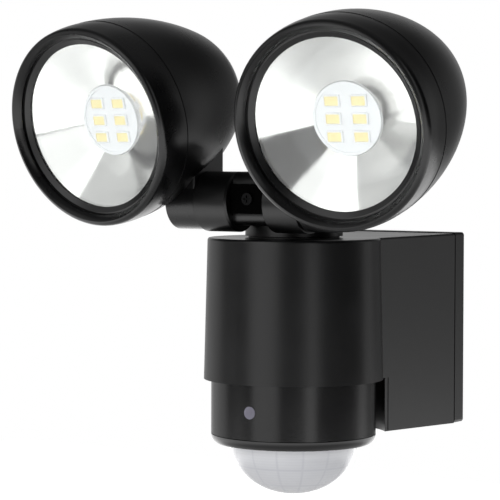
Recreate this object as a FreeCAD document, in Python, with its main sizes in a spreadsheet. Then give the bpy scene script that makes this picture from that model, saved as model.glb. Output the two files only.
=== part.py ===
import FreeCAD, Part
import math
import os
import re
import Sketcher

# A twin-head motion sensor light for an outside wall, every piece a solid of its own, in millimetres.
# +X is to the right seen from the front, +Y points into the wall and +Z is up.
# The origin is the centre of the wall plate's back face.

document = FreeCAD.newDocument("SecurityLight")
sheet = document.addObject("Spreadsheet::Sheet", "Sizes")
pieces = {}

# Wall plate
sheet.set("A1", "90.8")
sheet.setAlias("A1", "plate_height")
sheet.set("A2", "0.4")
sheet.setAlias("A2", "plate_margin")
sheet.set("A3", "8.1")
sheet.setAlias("A3", "plate_depth")
sheet.set("A4", "3")
sheet.setAlias("A4", "plate_floor")
sheet.set("A5", "2.4")
sheet.setAlias("A5", "plate_rim")
sheet.set("A6", "1.5")
sheet.setAlias("A6", "plate_corner")
sheet.set("A7", "66")
sheet.setAlias("A7", "wall_screw_spacing")
sheet.set("A8", "4.6")
sheet.setAlias("A8", "wall_screw_hole")
sheet.set("A9", "18")
sheet.setAlias("A9", "cable_hole")
sheet.set("A10", "15")
sheet.setAlias("A10", "cable_drop")
sheet.set("A11", "8")
sheet.setAlias("A11", "cable_diameter")
sheet.set("A12", "23")
sheet.setAlias("A12", "grommet_flange")
sheet.set("A13", "10")
sheet.setAlias("A13", "grommet_length")
sheet.set("A14", "2")
sheet.setAlias("A14", "grommet_lip")
sheet.set("A15", "0.8")
sheet.setAlias("A15", "gasket_thickness")
sheet.set("A16", "0.9")
sheet.setAlias("A16", "gasket_inset")
sheet.set("A17", "1.5")
sheet.setAlias("A17", "gasket_width")

# Housing: a round, slightly drafted front with a box behind it that reaches the wall plate
sheet.set("A18", "98")
sheet.setAlias("A18", "body_offset")
sheet.set("A19", "63.6")
sheet.setAlias("A19", "body_height")
sheet.set("A20", "39")
sheet.setAlias("A20", "body_top_radius")
sheet.set("A21", "40.5")
sheet.setAlias("A21", "body_bottom_radius")
sheet.set("A22", "2.5")
sheet.setAlias("A22", "body_wall")
sheet.set("A23", "3")
sheet.setAlias("A23", "body_top_wall")
sheet.set("A24", "1.2")
sheet.setAlias("A24", "body_edge_round")
sheet.set("A25", "66.2")
sheet.setAlias("A25", "box_width")
sheet.set("A26", "3.3")
sheet.setAlias("A26", "box_taper")
sheet.set("A27", "1")
sheet.setAlias("A27", "notch_margin")
sheet.set("A28", "6.5")
sheet.setAlias("A28", "skirt_depth")
sheet.set("A29", "0.8")
sheet.setAlias("A29", "skirt_gap")
sheet.set("A30", "2.5")
sheet.setAlias("A30", "partition")
sheet.set("A31", "2.4")
sheet.setAlias("A31", "cheek_groove_setback")
sheet.set("A32", "0.7")
sheet.setAlias("A32", "cheek_groove")

# Screws that hold the housing to the wall plate, from below
sheet.set("A33", "40")
sheet.setAlias("A33", "housing_screw_spacing")
sheet.set("A34", "16")
sheet.setAlias("A34", "housing_screw_setback")
sheet.set("A35", "3.4")
sheet.setAlias("A35", "housing_screw")
sheet.set("A36", "6.2")
sheet.setAlias("A36", "housing_screw_head")
sheet.set("A37", "2.2")
sheet.setAlias("A37", "housing_screw_head_height")
sheet.set("A38", "3")
sheet.setAlias("A38", "housing_screw_recess")
sheet.set("A39", "12")
sheet.setAlias("A39", "housing_screw_length")
sheet.set("A40", "10")
sheet.setAlias("A40", "screw_pad")
sheet.set("A41", "6.5")
sheet.setAlias("A41", "screw_pad_thickness")
sheet.set("A42", "6")
sheet.setAlias("A42", "lug_height")

# Electronics in the housing
sheet.set("A43", "1.6")
sheet.setAlias("A43", "board_thickness")
sheet.set("A44", "44")
sheet.setAlias("A44", "board_setback")
sheet.set("A45", "21.4")
sheet.setAlias("A45", "board_foot")
sheet.set("A46", "4")
sheet.setAlias("A46", "board_head_room")
sheet.set("A47", "2")
sheet.setAlias("A47", "rib")
sheet.set("A48", "8.5")
sheet.setAlias("A48", "terminal_pitch")
sheet.set("A49", "3")
sheet.setAlias("A49", "terminal_count")
sheet.set("A50", "12")
sheet.setAlias("A50", "terminal_depth")
sheet.set("A51", "16")
sheet.setAlias("A51", "terminal_height")
sheet.set("A52", "13.4")
sheet.setAlias("A52", "terminal_head_room")
sheet.set("A53", "3.6")
sheet.setAlias("A53", "terminal_entry")
sheet.set("A54", "2.8")
sheet.setAlias("A54", "terminal_screw")
sheet.set("A55", "4")
sheet.setAlias("A55", "terminal_screw_head")
sheet.set("A56", "1")
sheet.setAlias("A56", "terminal_screw_length")
sheet.set("A57", "18")
sheet.setAlias("A57", "transformer_width")
sheet.set("A58", "15")
sheet.setAlias("A58", "transformer_depth")
sheet.set("A59", "20")
sheet.setAlias("A59", "transformer_height")
sheet.set("A60", "9")
sheet.setAlias("A60", "transformer_core")
sheet.set("A61", "1.5")
sheet.setAlias("A61", "coil_inset")
sheet.set("A62", "12.5")
sheet.setAlias("A62", "capacitor_diameter")
sheet.set("A63", "22")
sheet.setAlias("A63", "capacitor_height")
sheet.set("A64", "20")
sheet.setAlias("A64", "relay_width")
sheet.set("A65", "8.5")
sheet.setAlias("A65", "relay_depth")
sheet.set("A66", "14")
sheet.setAlias("A66", "relay_height")
sheet.set("A67", "13")
sheet.setAlias("A67", "transformer_aside")
sheet.set("A68", "34")
sheet.setAlias("A68", "transformer_bottom")
sheet.set("A69", "13")
sheet.setAlias("A69", "capacitor_aside")
sheet.set("A70", "26")
sheet.setAlias("A70", "capacitor_bottom")
sheet.set("A71", "11")
sheet.setAlias("A71", "relay_aside")
sheet.set("A72", "8")
sheet.setAlias("A72", "relay_bottom")

# Setting knobs under the box
sheet.set("A73", "24")
sheet.setAlias("A73", "knob_spacing")
sheet.set("A74", "36")
sheet.setAlias("A74", "knob_setback")
sheet.set("A75", "9")
sheet.setAlias("A75", "knob_diameter")
sheet.set("A76", "3")
sheet.setAlias("A76", "knob_height")
sheet.set("A77", "0.5")
sheet.setAlias("A77", "knob_gap")
sheet.set("A78", "4")
sheet.setAlias("A78", "knob_stem")
sheet.set("A79", "1.2")
sheet.setAlias("A79", "knob_slot")
sheet.set("A80", "10")
sheet.setAlias("A80", "pot_size")
sheet.set("A81", "5")
sheet.setAlias("A81", "pot_height")
sheet.set("A82", "3.2")
sheet.setAlias("A82", "control_board_margin")
sheet.set("A83", "13")
sheet.setAlias("A83", "control_board_depth")
sheet.set("A84", "12.5")
sheet.setAlias("A84", "control_board_height")
sheet.set("A85", "6")
sheet.setAlias("A85", "control_post_width")
sheet.set("A86", "8")
sheet.setAlias("A86", "control_post_depth")
sheet.set("A87", "0.6")
sheet.setAlias("A87", "knob_well_gap")
sheet.set("A88", "1.8")
sheet.setAlias("A88", "knob_well_wall")

# Rotating sensor
sheet.set("A89", "37.2")
sheet.setAlias("A89", "ring_radius")
sheet.set("A90", "24.5")
sheet.setAlias("A90", "ring_below_housing")
sheet.set("A91", "2.2")
sheet.setAlias("A91", "ring_wall")
sheet.set("A92", "2.5")
sheet.setAlias("A92", "ring_top")
sheet.set("A93", "0.3")
sheet.setAlias("A93", "ring_seam")
sheet.set("A94", "4")
sheet.setAlias("A94", "bezel_chamfer_height")
sheet.set("A95", "2.5")
sheet.setAlias("A95", "bezel_chamfer_width")
sheet.set("A96", "5")
sheet.setAlias("A96", "bezel_round")
sheet.set("A97", "2.2")
sheet.setAlias("A97", "bezel_floor")
sheet.set("A98", "3")
sheet.setAlias("A98", "bezel_lip_height")
sheet.set("A99", "1.6")
sheet.setAlias("A99", "bezel_lip_wall")
sheet.set("A100", "12")
sheet.setAlias("A100", "sensor_neck")
sheet.set("A101", "8.5")
sheet.setAlias("A101", "sensor_neck_bore")
sheet.set("A102", "1.5")
sheet.setAlias("A102", "sensor_neck_end")
sheet.set("A103", "17")
sheet.setAlias("A103", "sensor_nut_radius")
sheet.set("A104", "4")
sheet.setAlias("A104", "sensor_nut_height")
sheet.set("A105", "28.8")
sheet.setAlias("A105", "dome_radius")
sheet.set("A106", "23.5")
sheet.setAlias("A106", "dome_height")
sheet.set("A107", "1")
sheet.setAlias("A107", "dome_wall")
sheet.set("A108", "2.6")
sheet.setAlias("A108", "dome_flange")
sheet.set("A109", "1.2")
sheet.setAlias("A109", "dome_flange_thickness")
sheet.set("A110", "2")
sheet.setAlias("A110", "dome_clamp_thickness")
sheet.set("A111", "4.9")
sheet.setAlias("A111", "board_spacer_height")
sheet.set("A112", "4.6")
sheet.setAlias("A112", "pyro_radius")
sheet.set("A113", "4.2")
sheet.setAlias("A113", "pyro_height")
sheet.set("A114", "0.5")
sheet.setAlias("A114", "pyro_foot")
sheet.set("A115", "5.6")
sheet.setAlias("A115", "window_diameter")
sheet.set("A116", "12.3")
sheet.setAlias("A116", "window_below_housing")
sheet.set("A117", "1.3")
sheet.setAlias("A117", "window_aside")
sheet.set("A118", "2.6")
sheet.setAlias("A118", "window_depth")
sheet.set("A119", "0.2")
sheet.setAlias("A119", "window_proud")
sheet.set("A120", "1.6")
sheet.setAlias("A120", "window_seat_wall")
sheet.set("A121", "2")
sheet.setAlias("A121", "window_seat_tail")
sheet.set("A122", "5")
sheet.setAlias("A122", "photocell_diameter")
sheet.set("A123", "2.2")
sheet.setAlias("A123", "photocell_depth")

# Hub and cross bracket on top
sheet.set("A124", "22")
sheet.setAlias("A124", "hub_radius")
sheet.set("A125", "6.1")
sheet.setAlias("A125", "hub_height")
sheet.set("A126", "11")
sheet.setAlias("A126", "hub_neck")
sheet.set("A127", "1.5")
sheet.setAlias("A127", "hub_neck_end")
sheet.set("A128", "7.5")
sheet.setAlias("A128", "hub_bore")
sheet.set("A129", "20.5")
sheet.setAlias("A129", "hub_washer_radius")
sheet.set("A130", "0.6")
sheet.setAlias("A130", "hub_washer")
sheet.set("A131", "17")
sheet.setAlias("A131", "hub_nut_radius")
sheet.set("A132", "5")
sheet.setAlias("A132", "hub_nut_height")
sheet.set("A133", "27.9")
sheet.setAlias("A133", "barrel_forward")
sheet.set("A134", "16.4")
sheet.setAlias("A134", "barrel_rise")
sheet.set("A135", "13.4")
sheet.setAlias("A135", "barrel_radius")
sheet.set("A136", "9.3")
sheet.setAlias("A136", "block_half_width")
sheet.set("A137", "7.5")
sheet.setAlias("A137", "block_front")
sheet.set("A138", "5")
sheet.setAlias("A138", "block_corner")
sheet.set("A139", "10.4")
sheet.setAlias("A139", "block_underside")
sheet.set("A140", "5.5")
sheet.setAlias("A140", "block_bore")
sheet.set("A141", "5")
sheet.setAlias("A141", "arm_channel_radius")
sheet.set("A142", "10")
sheet.setAlias("A142", "arm_back")
sheet.set("A143", "15")
sheet.setAlias("A143", "arm_round")
sheet.set("A144", "26.5")
sheet.setAlias("A144", "collar_outer")
sheet.set("A145", "9.6")
sheet.setAlias("A145", "collar_bore")
sheet.set("A146", "3")
sheet.setAlias("A146", "collar_wall")
sheet.set("A147", "0.8")
sheet.setAlias("A147", "collar_chamfer")
sheet.set("A148", "1.6")
sheet.setAlias("A148", "cover_thickness")
sheet.set("A149", "13")
sheet.setAlias("A149", "cover_height")
sheet.set("A150", "1.5")
sheet.setAlias("A150", "cover_rise")
sheet.set("A151", "4.4")
sheet.setAlias("A151", "cover_web")
sheet.set("A152", "4")
sheet.setAlias("A152", "wire_opening_width")
sheet.set("A153", "9")
sheet.setAlias("A153", "wire_opening_height")
sheet.set("A154", "2.4")
sheet.setAlias("A154", "cover_screw")
sheet.set("A155", "5.4")
sheet.setAlias("A155", "cover_screw_head")
sheet.set("A156", "1.2")
sheet.setAlias("A156", "cover_screw_head_height")
sheet.set("A157", "7")
sheet.setAlias("A157", "cover_screw_length")

# Tilt pivots
sheet.set("A158", "0.4")
sheet.setAlias("A158", "pivot_washer")
sheet.set("A159", "11")
sheet.setAlias("A159", "pivot_washer_radius")
sheet.set("A160", "42.3")
sheet.setAlias("A160", "boss_outer")
sheet.set("A161", "12.6")
sheet.setAlias("A161", "boss_radius")
sheet.set("A162", "10.2")
sheet.setAlias("A162", "boss_bore")
sheet.set("A163", "3")
sheet.setAlias("A163", "boss_wall")
sheet.set("A164", "5")
sheet.setAlias("A164", "tube_radius")
sheet.set("A165", "3.4")
sheet.setAlias("A165", "tube_bore")
sheet.set("A166", "15")
sheet.setAlias("A166", "nut_flats")
sheet.set("A167", "4")
sheet.setAlias("A167", "nut_height")
sheet.set("A168", "0.8")
sheet.setAlias("A168", "tube_overhang")
sheet.set("A169", "11.3")
sheet.setAlias("A169", "neck_half_depth")
sheet.set("A170", "1")
sheet.setAlias("A170", "neck_corner")
sheet.set("A171", "7")
sheet.setAlias("A171", "neck_channel_half_depth")

# Lamp heads, measured along the lamp axis back from the visible edge of the reflector
sheet.set("A172", "63.4")
sheet.setAlias("A172", "head_side")
sheet.set("A173", "165.6")
sheet.setAlias("A173", "head_forward_right")
sheet.set("A174", "164.2")
sheet.setAlias("A174", "head_forward_left")
sheet.set("A175", "49.6")
sheet.setAlias("A175", "head_rise")
sheet.set("A176", "13.2")
sheet.setAlias("A176", "head_tilt")
sheet.set("A177", "6.2")
sheet.setAlias("A177", "head_toe_right")
sheet.set("A178", "3.9")
sheet.setAlias("A178", "head_toe_left")
sheet.set("A179", "45.4")
sheet.setAlias("A179", "head_radius")
sheet.set("A180", "5")
sheet.setAlias("A180", "head_widest")
sheet.set("A181", "80.8")
sheet.setAlias("A181", "head_length")
sheet.set("A182", "35")
sheet.setAlias("A182", "nose_radius")
sheet.set("A183", "2.2")
sheet.setAlias("A183", "shell_wall")
sheet.set("A184", "11.1")
sheet.setAlias("A184", "shell_seam")
sheet.set("A185", "43.5")
sheet.setAlias("A185", "rim_radius")
sheet.set("A186", "5.5")
sheet.setAlias("A186", "rim_forward")
sheet.set("A187", "2.6")
sheet.setAlias("A187", "rim_round")
sheet.set("A188", "0.7")
sheet.setAlias("A188", "bezel_taper")
sheet.set("A189", "56")
sheet.setAlias("A189", "bezel_side_radius")
sheet.set("A190", "39.9")
sheet.setAlias("A190", "face_inner_radius")
sheet.set("A191", "2.5")
sheet.setAlias("A191", "face_inner_forward")
sheet.set("A192", "9")
sheet.setAlias("A192", "face_bulge")
sheet.set("A193", "0.9")
sheet.setAlias("A193", "groove_width")
sheet.set("A194", "1.5")
sheet.setAlias("A194", "groove_depth")
sheet.set("A195", "36.8")
sheet.setAlias("A195", "aperture_radius")
sheet.set("A196", "1.4")
sheet.setAlias("A196", "lip_forward")
sheet.set("A197", "39")
sheet.setAlias("A197", "lens_radius")
sheet.set("A198", "0.4")
sheet.setAlias("A198", "lens_front")
sheet.set("A199", "2.2")
sheet.setAlias("A199", "lens_thickness")
sheet.set("A200", "1")
sheet.setAlias("A200", "lens_seat_margin")
sheet.set("A201", "5")
sheet.setAlias("A201", "spigot_length")
sheet.set("A202", "1.9")
sheet.setAlias("A202", "spigot_wall")
sheet.set("A203", "1.2")
sheet.setAlias("A203", "seal_section")
sheet.set("A204", "13.6")
sheet.setAlias("A204", "seal_place")
sheet.set("A205", "0.35")
sheet.setAlias("A205", "seam_step")
sheet.set("A206", "1.2")
sheet.setAlias("A206", "reflector_wall")
sheet.set("A207", "0.4")
sheet.setAlias("A207", "mirror_lip")
sheet.set("A208", "13.6")
sheet.setAlias("A208", "reflector_back")
sheet.set("A209", "15.8")
sheet.setAlias("A209", "led_disc_radius")
sheet.set("A210", "1.6")
sheet.setAlias("A210", "led_board_thickness")
sheet.set("A211", "1.2")
sheet.setAlias("A211", "led_rim_width")
sheet.set("A212", "0.6")
sheet.setAlias("A212", "led_rim_height")
sheet.set("A213", "7.4")
sheet.setAlias("A213", "led_width")
sheet.set("A214", "5.1")
sheet.setAlias("A214", "led_height")
sheet.set("A215", "0.9")
sheet.setAlias("A215", "led_thickness")
sheet.set("A216", "12.4")
sheet.setAlias("A216", "led_column_pitch")
sheet.set("A217", "7.65")
sheet.setAlias("A217", "led_row_pitch")
sheet.set("A218", "2.5")
sheet.setAlias("A218", "sink_thickness")
sheet.set("A219", "0.9")
sheet.setAlias("A219", "sink_margin")
sheet.set("A220", "1")
sheet.setAlias("A220", "sink_step")
sheet.set("A221", "16")
sheet.setAlias("A221", "fin_length")
sheet.set("A222", "1.8")
sheet.setAlias("A222", "fin_thickness")
sheet.set("A223", "7")
sheet.setAlias("A223", "fin_pitch")
sheet.set("A224", "26")
sheet.setAlias("A224", "fin_radius")
sheet.set("A225", "2.8")
sheet.setAlias("A225", "head_screw")
sheet.set("A226", "7")
sheet.setAlias("A226", "head_screw_grip")
sheet.set("A227", "5.2")
sheet.setAlias("A227", "head_screw_head")
sheet.set("A228", "2")
sheet.setAlias("A228", "head_screw_head_height")
sheet.set("A229", "38.9")
sheet.setAlias("A229", "head_screw_circle")
sheet.set("A230", "5.6")
sheet.setAlias("A230", "head_screw_boss")
sheet.set("A231", "9")
sheet.setAlias("A231", "head_screw_boss_length")

# Clearances
sheet.set("A232", "0.3")
sheet.setAlias("A232", "moving_gap")
sheet.set("A233", "0.06")
sheet.setAlias("A233", "running_fit")
sheet.set("A234", "0.1")
sheet.setAlias("A234", "snug")

# Sizes that follow from others
sheet.set("B1", "=box_width")
sheet.setAlias("B1", "plate_width")
sheet.set("B2", "=plate_height / 2 - plate_margin")
sheet.setAlias("B2", "body_top")
sheet.set("B3", "=body_top + plate_height / 2 - snug")
sheet.setAlias("B3", "box_depth_at_wall")
sheet.set("B4", "=box_depth_at_wall - box_taper")
sheet.setAlias("B4", "box_depth_at_axis")
sheet.set("B5", "=body_height + ring_below_housing")
sheet.setAlias("B5", "ring_bottom")
sheet.set("B6", "=body_height + window_below_housing")
sheet.setAlias("B6", "window_drop")
sheet.set("B7", "=plate_height / 2 - board_foot")
sheet.setAlias("B7", "board_drop")
sheet.set("B8", "=body_top - body_top_wall - board_head_room + board_drop")
sheet.setAlias("B8", "board_height")
sheet.set("B9", "=box_width - 2 * body_wall - control_board_margin")
sheet.setAlias("B9", "control_board_width")
sheet.set("B10", "=ring_radius - ring_wall - bezel_lip_wall - 4 * snug")
sheet.setAlias("B10", "sensor_board_radius")
sheet.set("B11", "=plate_height / 2 - terminal_height - terminal_head_room")
sheet.setAlias("B11", "terminal_bottom")
document.recompute()
size_names = {sheet.getAlias(cell) for cell in sheet.getUsedCells()}

# Places that several pieces share, written once
plate_top = "(plate_height / 2)"
housing_back = "(-plate_depth - gasket_thickness)"
body_y = "(-body_offset)"
body_bottom = "(body_top - body_height)"
partition_bottom = "(body_top - body_height + skirt_depth)"
partition_top = "(body_top - body_height + skirt_depth + partition)"
ceiling = "(body_top - body_top_wall)"
notch_radius = "(body_bottom_radius + notch_margin)"
box_slope = "((box_depth_at_wall - box_depth_at_axis) / (body_offset - plate_depth - gasket_thickness))"
screw_y = "(-housing_screw_setback)"
box_under_screw = f"(body_top - box_depth_at_axis - {box_slope} * (body_offset - housing_screw_setback))"
box_under_knob = f"(body_top - box_depth_at_axis - {box_slope} * (body_offset - knob_setback))"
knob_well_depth = "(knob_height + 2 * knob_gap + knob_well_wall - body_wall / 2)"
ring_top_z = f"({partition_bottom} - moving_gap)"
ring_bottom_z = "(body_top - ring_bottom)"
bezel_bottom_z = "(body_top - ring_bottom - ring_seam - bezel_chamfer_height)"
hub_floor = "(body_top + hub_washer + moving_gap)"
barrel_y = "(-body_offset - barrel_forward)"
barrel_z = "(body_top + barrel_rise)"
boss_inner = "(collar_outer + pivot_washer + moving_gap)"
side_radius = ("((head_radius * head_radius + (head_length - nose_radius) * (head_length - nose_radius)"
               " - nose_radius * nose_radius) / (2 * (head_radius - nose_radius)))")
sink_front = "(shell_seam + spigot_length + snug)"


def cells(text):
    """Turn the size names in an expression into references to the sheet."""
    def refer(word):
        return "Sizes." + word.group() if word.group() in size_names else word.group()
    return re.sub(r"[A-Za-z_]\w*", refer, str(text))


def value(text):
    """The number that an expression of size names comes to."""
    return float(sheet.evalExpression(cells(text)))


def bind(thing, **sizes):
    """Bind properties of an object to expressions of size names."""
    for name, text in sizes.items():
        thing.setExpression(name, cells(text))


TURNS = {
    "Z": FreeCAD.Rotation(),
    "X": FreeCAD.Rotation(FreeCAD.Vector(0, 1, 0), 90),
    "Y": FreeCAD.Rotation(FreeCAD.Vector(1, 0, 0), -90),
}


def place(thing, x, y, z, along="Z"):
    """Put an object at a place given by expressions, with its own Z along the axis named."""
    thing.Placement = FreeCAD.Placement(FreeCAD.Vector(), TURNS[along])
    for axis, text in zip("xyz", (x, y, z)):
        thing.setExpression("Placement.Base." + axis, cells(text))
    return thing


def cylinder(name, radius, height, x=0, y=0, z=0, along="Z"):
    solid = document.addObject("Part::Cylinder", name)
    bind(solid, Radius=radius, Height=height)
    return place(solid, x, y, z, along)


def cone(name, first_radius, last_radius, height, x=0, y=0, z=0, along="Z"):
    solid = document.addObject("Part::Cone", name)
    bind(solid, Radius1=first_radius, Radius2=last_radius, Height=height)
    return place(solid, x, y, z, along)


def block(name, x, y, z, width, depth, height):
    """A block centred on x, from y back and from z up."""
    solid = document.addObject("Part::Box", name)
    bind(solid, Length=width, Width=depth, Height=height)
    return place(solid, f"{x} - ({width}) / 2", y, z)


def tube(name, radius, bore, height, x=0, y=0, z=0, along="Z"):
    outer = cylinder(name + "_outer", radius, height, x, y, z, along)
    inner = cylinder(name + "_bore", bore, height, x, y, z, along)
    return cut(name, outer, inner)


def fuse(name, *solids):
    joined = document.addObject("Part::MultiFuse", name)
    joined.Shapes = list(solids)
    joined.Refine = True
    return joined


def cut(name, base, *tools):
    """Take the tools away from the base."""
    result = document.addObject("Part::Cut", name)
    result.Base = base
    result.Tool = tools[0] if len(tools) == 1 else fuse(name + "_tools", *tools)
    return result


def common(name, first, second):
    result = document.addObject("Part::Common", name)
    result.Base = first
    result.Tool = second
    return result


def group(name, *solids):
    """Like pieces that stay separate solids in one node."""
    gathered = document.addObject("Part::Compound", name)
    gathered.Links = list(solids)
    return gathered


def piece(label, thing):
    """Name a finished piece; its solid is written under that name."""
    thing.Label = label
    pieces[label] = thing
    return thing


def origin_plane(body, role):
    return [feature for feature in body.Origin.OriginFeatures if feature.Role == role][0]


def tie_point(sketch, index, end, x, y):
    """Hold one corner of an outline at a place given by expressions."""
    for kind, text, axis in (("DistanceX", x, -2), ("DistanceY", y, -1)):
        if str(text) == "0":
            sketch.addConstraint(Sketcher.Constraint("PointOnObject", index, end, axis))
            continue
        number = sketch.addConstraint(Sketcher.Constraint(kind, -1, 1, index, end, value(text)))
        sketch.setExpression("Constraints[%d]" % number, cells(text))


def arc_between(start, end, radius):
    """An arc under a half circle; a positive radius turns left on the way from start to end."""
    chord = end - start
    side = FreeCAD.Vector(-chord.y, chord.x, 0)
    side.normalize()
    rise = (radius * radius - chord.Length * chord.Length / 4) ** 0.5
    centre = (start + end) / 2 + side * (rise if radius > 0 else -rise)
    first, last = (start, end) if radius > 0 else (end, start)
    across = FreeCAD.Vector(1, 0, 0)
    up = FreeCAD.Vector(0, 0, 1)
    begin = across.getAngle(first - centre) * (1 if (first - centre).y >= 0 else -1)
    finish = across.getAngle(last - centre) * (1 if (last - centre).y >= 0 else -1)
    return Part.ArcOfCircle(Part.Circle(centre, up, abs(radius)), begin, finish)


def outline(body, name, role, corners):
    """A closed sketch through corners (x, y) or (x, y, radius of the arc that leaves the corner)."""
    sketch = body.newObject("Sketcher::SketchObject", name)
    sketch.AttachmentSupport = [(origin_plane(body, role), "")]
    sketch.MapMode = "FlatFace"
    points = [FreeCAD.Vector(value(corner[0]), value(corner[1]), 0) for corner in corners]
    starts = []
    for index, corner in enumerate(corners):
        start = points[index]
        end = points[(index + 1) % len(points)]
        if len(corner) == 3:
            sketch.addGeometry(arc_between(start, end, value(corner[2])), False)
            starts.append(1 if value(corner[2]) > 0 else 2)
        else:
            sketch.addGeometry(Part.LineSegment(start, end), False)
            starts.append(1)
    for index, corner in enumerate(corners):
        following = (index + 1) % len(corners)
        ending = 3 - starts[index]
        sketch.addConstraint(Sketcher.Constraint("Coincident", index, ending, following, starts[following]))
        tie_point(sketch, index, starts[index], corner[0], corner[1])
        if len(corner) == 3:
            number = sketch.addConstraint(Sketcher.Constraint("Radius", index, abs(value(corner[2]))))
            sketch.setExpression("Constraints[%d]" % number, cells(f"abs({corner[2]})"))
    return sketch


def turned(name, *corners):
    """A body turned about its own Z axis from an outline of (radius, height) corners."""
    body = document.addObject("PartDesign::Body", name)
    sketch = outline(body, name + "_outline", "XZ_Plane", corners)
    turn = body.newObject("PartDesign::Revolution", name + "_turn")
    turn.Profile = sketch
    turn.ReferenceAxis = (sketch, ["V_Axis"])
    turn.Angle = 360
    return body


def extruded(name, role, start, length, *corners):
    """A body padded from an outline on one of its planes, from a start distance along its normal."""
    body = document.addObject("PartDesign::Body", name)
    sketch = outline(body, name + "_outline", role, corners)
    sketch.setExpression("AttachmentOffset.Base.z", cells(start))
    pad = body.newObject("PartDesign::Pad", name + "_pad")
    pad.Profile = sketch
    bind(pad, Length=length)
    return body


def screw(name, radius, length, head_radius, head_height):
    """A cross-head screw: the head hangs below its own origin, the shank rises above."""
    shank = cylinder(name + "_shank", radius, length)
    head = cylinder(name + "_head", head_radius, head_height, 0, 0, f"-({head_height})")
    slot = block(name + "_slot", 0, f"-({head_radius}) * 0.13", f"-({head_height}) - 0.01",
                 f"({head_radius}) * 1.2", f"({head_radius}) * 0.26", f"({head_height}) * 0.6")
    cross = block(name + "_cross", 0, f"-({head_radius}) * 0.6", f"-({head_height}) - 0.01",
                  f"({head_radius}) * 0.26", f"({head_radius}) * 1.2", f"({head_height}) * 0.6")
    return cut(name, fuse(name + "_body", shank, head), slot, cross)


def wall_plate():
    """The tray that is screwed to the wall, with lugs that take the housing's screws."""
    outer = block("plate_block", 0, "-plate_depth", f"-{plate_top}", "plate_width", "plate_depth",
                  "plate_height")
    document.recompute()
    corners = [index for index, edge in enumerate(outer.Shape.Edges, 1)
               if abs(edge.BoundBox.YLength - edge.Length) < 0.001]
    eased = document.addObject("Part::Fillet", "plate_eased")
    eased.Base = outer
    eased.Edges = [(index, value("plate_corner"), value("plate_corner")) for index in corners]
    tray = block("plate_tray", 0, "-plate_depth - 1", f"plate_rim - {plate_top}",
                 "plate_width - 2 * plate_rim", "plate_depth - plate_floor + 1",
                 "plate_height - 2 * plate_rim")
    lug_z = f"({box_under_screw} + screw_pad_thickness)"
    lugs = []
    holes = []
    for side in (-1, 1):
        x = f"({side} * housing_screw_spacing / 2)"
        lugs.append(block(f"plate_lug{side + 1}", x, f"{screw_y} - screw_pad / 2", lug_z, "screw_pad",
                          "housing_screw_setback + screw_pad / 2 - plate_floor", "lug_height"))
        holes.append(cylinder(f"plate_lug_hole{side + 1}", "housing_screw / 2 + snug / 2", "lug_height + 2",
                              x, screw_y, f"{lug_z} - 1"))
        holes.append(cylinder(f"plate_wall_hole{side + 1}", "wall_screw_hole / 2", "plate_depth + 2",
                              0, "-plate_depth - 1", f"{side} * wall_screw_spacing / 2", "Y"))
    holes.append(cylinder("plate_cable_hole", "cable_hole / 2", "plate_depth + 2", 0, "-plate_depth - 1",
                          "-cable_drop", "Y"))
    body = fuse("plate_body", cut("plate_shell", eased, tray), *lugs)
    return piece("wall_plate", cut("wall_plate", body, *holes))


def wall_gasket():
    """The rubber frame squeezed between the wall plate and the housing."""
    outer = block("gasket_block", 0, housing_back, f"gasket_inset - {plate_top}",
                  "plate_width - 2 * gasket_inset", "gasket_thickness", "plate_height - 2 * gasket_inset")
    inner = block("gasket_window", 0, f"{housing_back} - 1", f"gasket_inset + gasket_width - {plate_top}",
                  "plate_width - 2 * gasket_inset - 2 * gasket_width", "gasket_thickness + 2",
                  "plate_height - 2 * gasket_inset - 2 * gasket_width")
    return piece("wall_gasket", cut("wall_gasket", outer, inner))


def cable_grommet():
    """The rubber grommet in the cable hole, with a soft cone on the inside."""
    low = "-cable_drop"
    neck = cylinder("grommet_neck", "cable_hole / 2 - snug / 2", "plate_floor", 0, "-plate_floor", low, "Y")
    flange = cylinder("grommet_rim", "grommet_flange / 2", "grommet_lip", 0, "-plate_floor - grommet_lip",
                      low, "Y")
    nose = cone("grommet_nose", "cable_diameter / 2 + grommet_lip", "grommet_flange / 2 - grommet_lip",
                "grommet_length - plate_floor - grommet_lip", 0, "-grommet_length", low, "Y")
    bore = cylinder("grommet_bore", "cable_diameter / 2", "grommet_length + 2", 0, "-grommet_length - 1",
                    low, "Y")
    return piece("cable_grommet", cut("cable_grommet", fuse("grommet_body", neck, flange, nose), bore))


def box_profile(name, half_gap, inset, back, ceiling_z):
    """The box behind the round front, seen from the side, drafted so that it grows towards the wall."""
    def under(y):
        return f"body_top - box_depth_at_axis - {box_slope} * (body_offset + {y}) + {inset}"
    return extruded(name, "YZ_Plane", f"{half_gap} - box_width / 2", f"box_width - 2 * ({half_gap})",
                    (body_y, under(body_y)), (back, under(back)), (back, ceiling_z), (body_y, ceiling_z))


def top_edges(shape, z):
    """Numbers of the edges that lie in the top face's plane."""
    level = [index for index, edge in enumerate(shape.Edges, 1)
             if abs(edge.BoundBox.ZMin - z) < 0.001 and abs(edge.BoundBox.ZMax - z) < 0.001]
    return level


def rounded_top(name, base, radius, z):
    """Round the edges of the top face."""
    document.recompute()
    fillet = document.addObject("Part::Fillet", name)
    fillet.Base = base
    fillet.Edges = [(index, radius, radius) for index in top_edges(base.Shape, z)]
    return fillet


def housing_outside():
    round_front = cone("housing_round", "body_bottom_radius", "body_top_radius", "body_height",
                       0, body_y, body_bottom)
    box = box_profile("housing_box", "0", "0", housing_back, "body_top")
    notch = cylinder("housing_notch", notch_radius, "body_height", 0, body_y,
                     f"{body_bottom} - body_height")
    whole = fuse("housing_outside", round_front, cut("housing_box_cut", box, notch))
    return rounded_top("housing_rounded", whole, value("body_edge_round"), value("body_top"))


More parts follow.
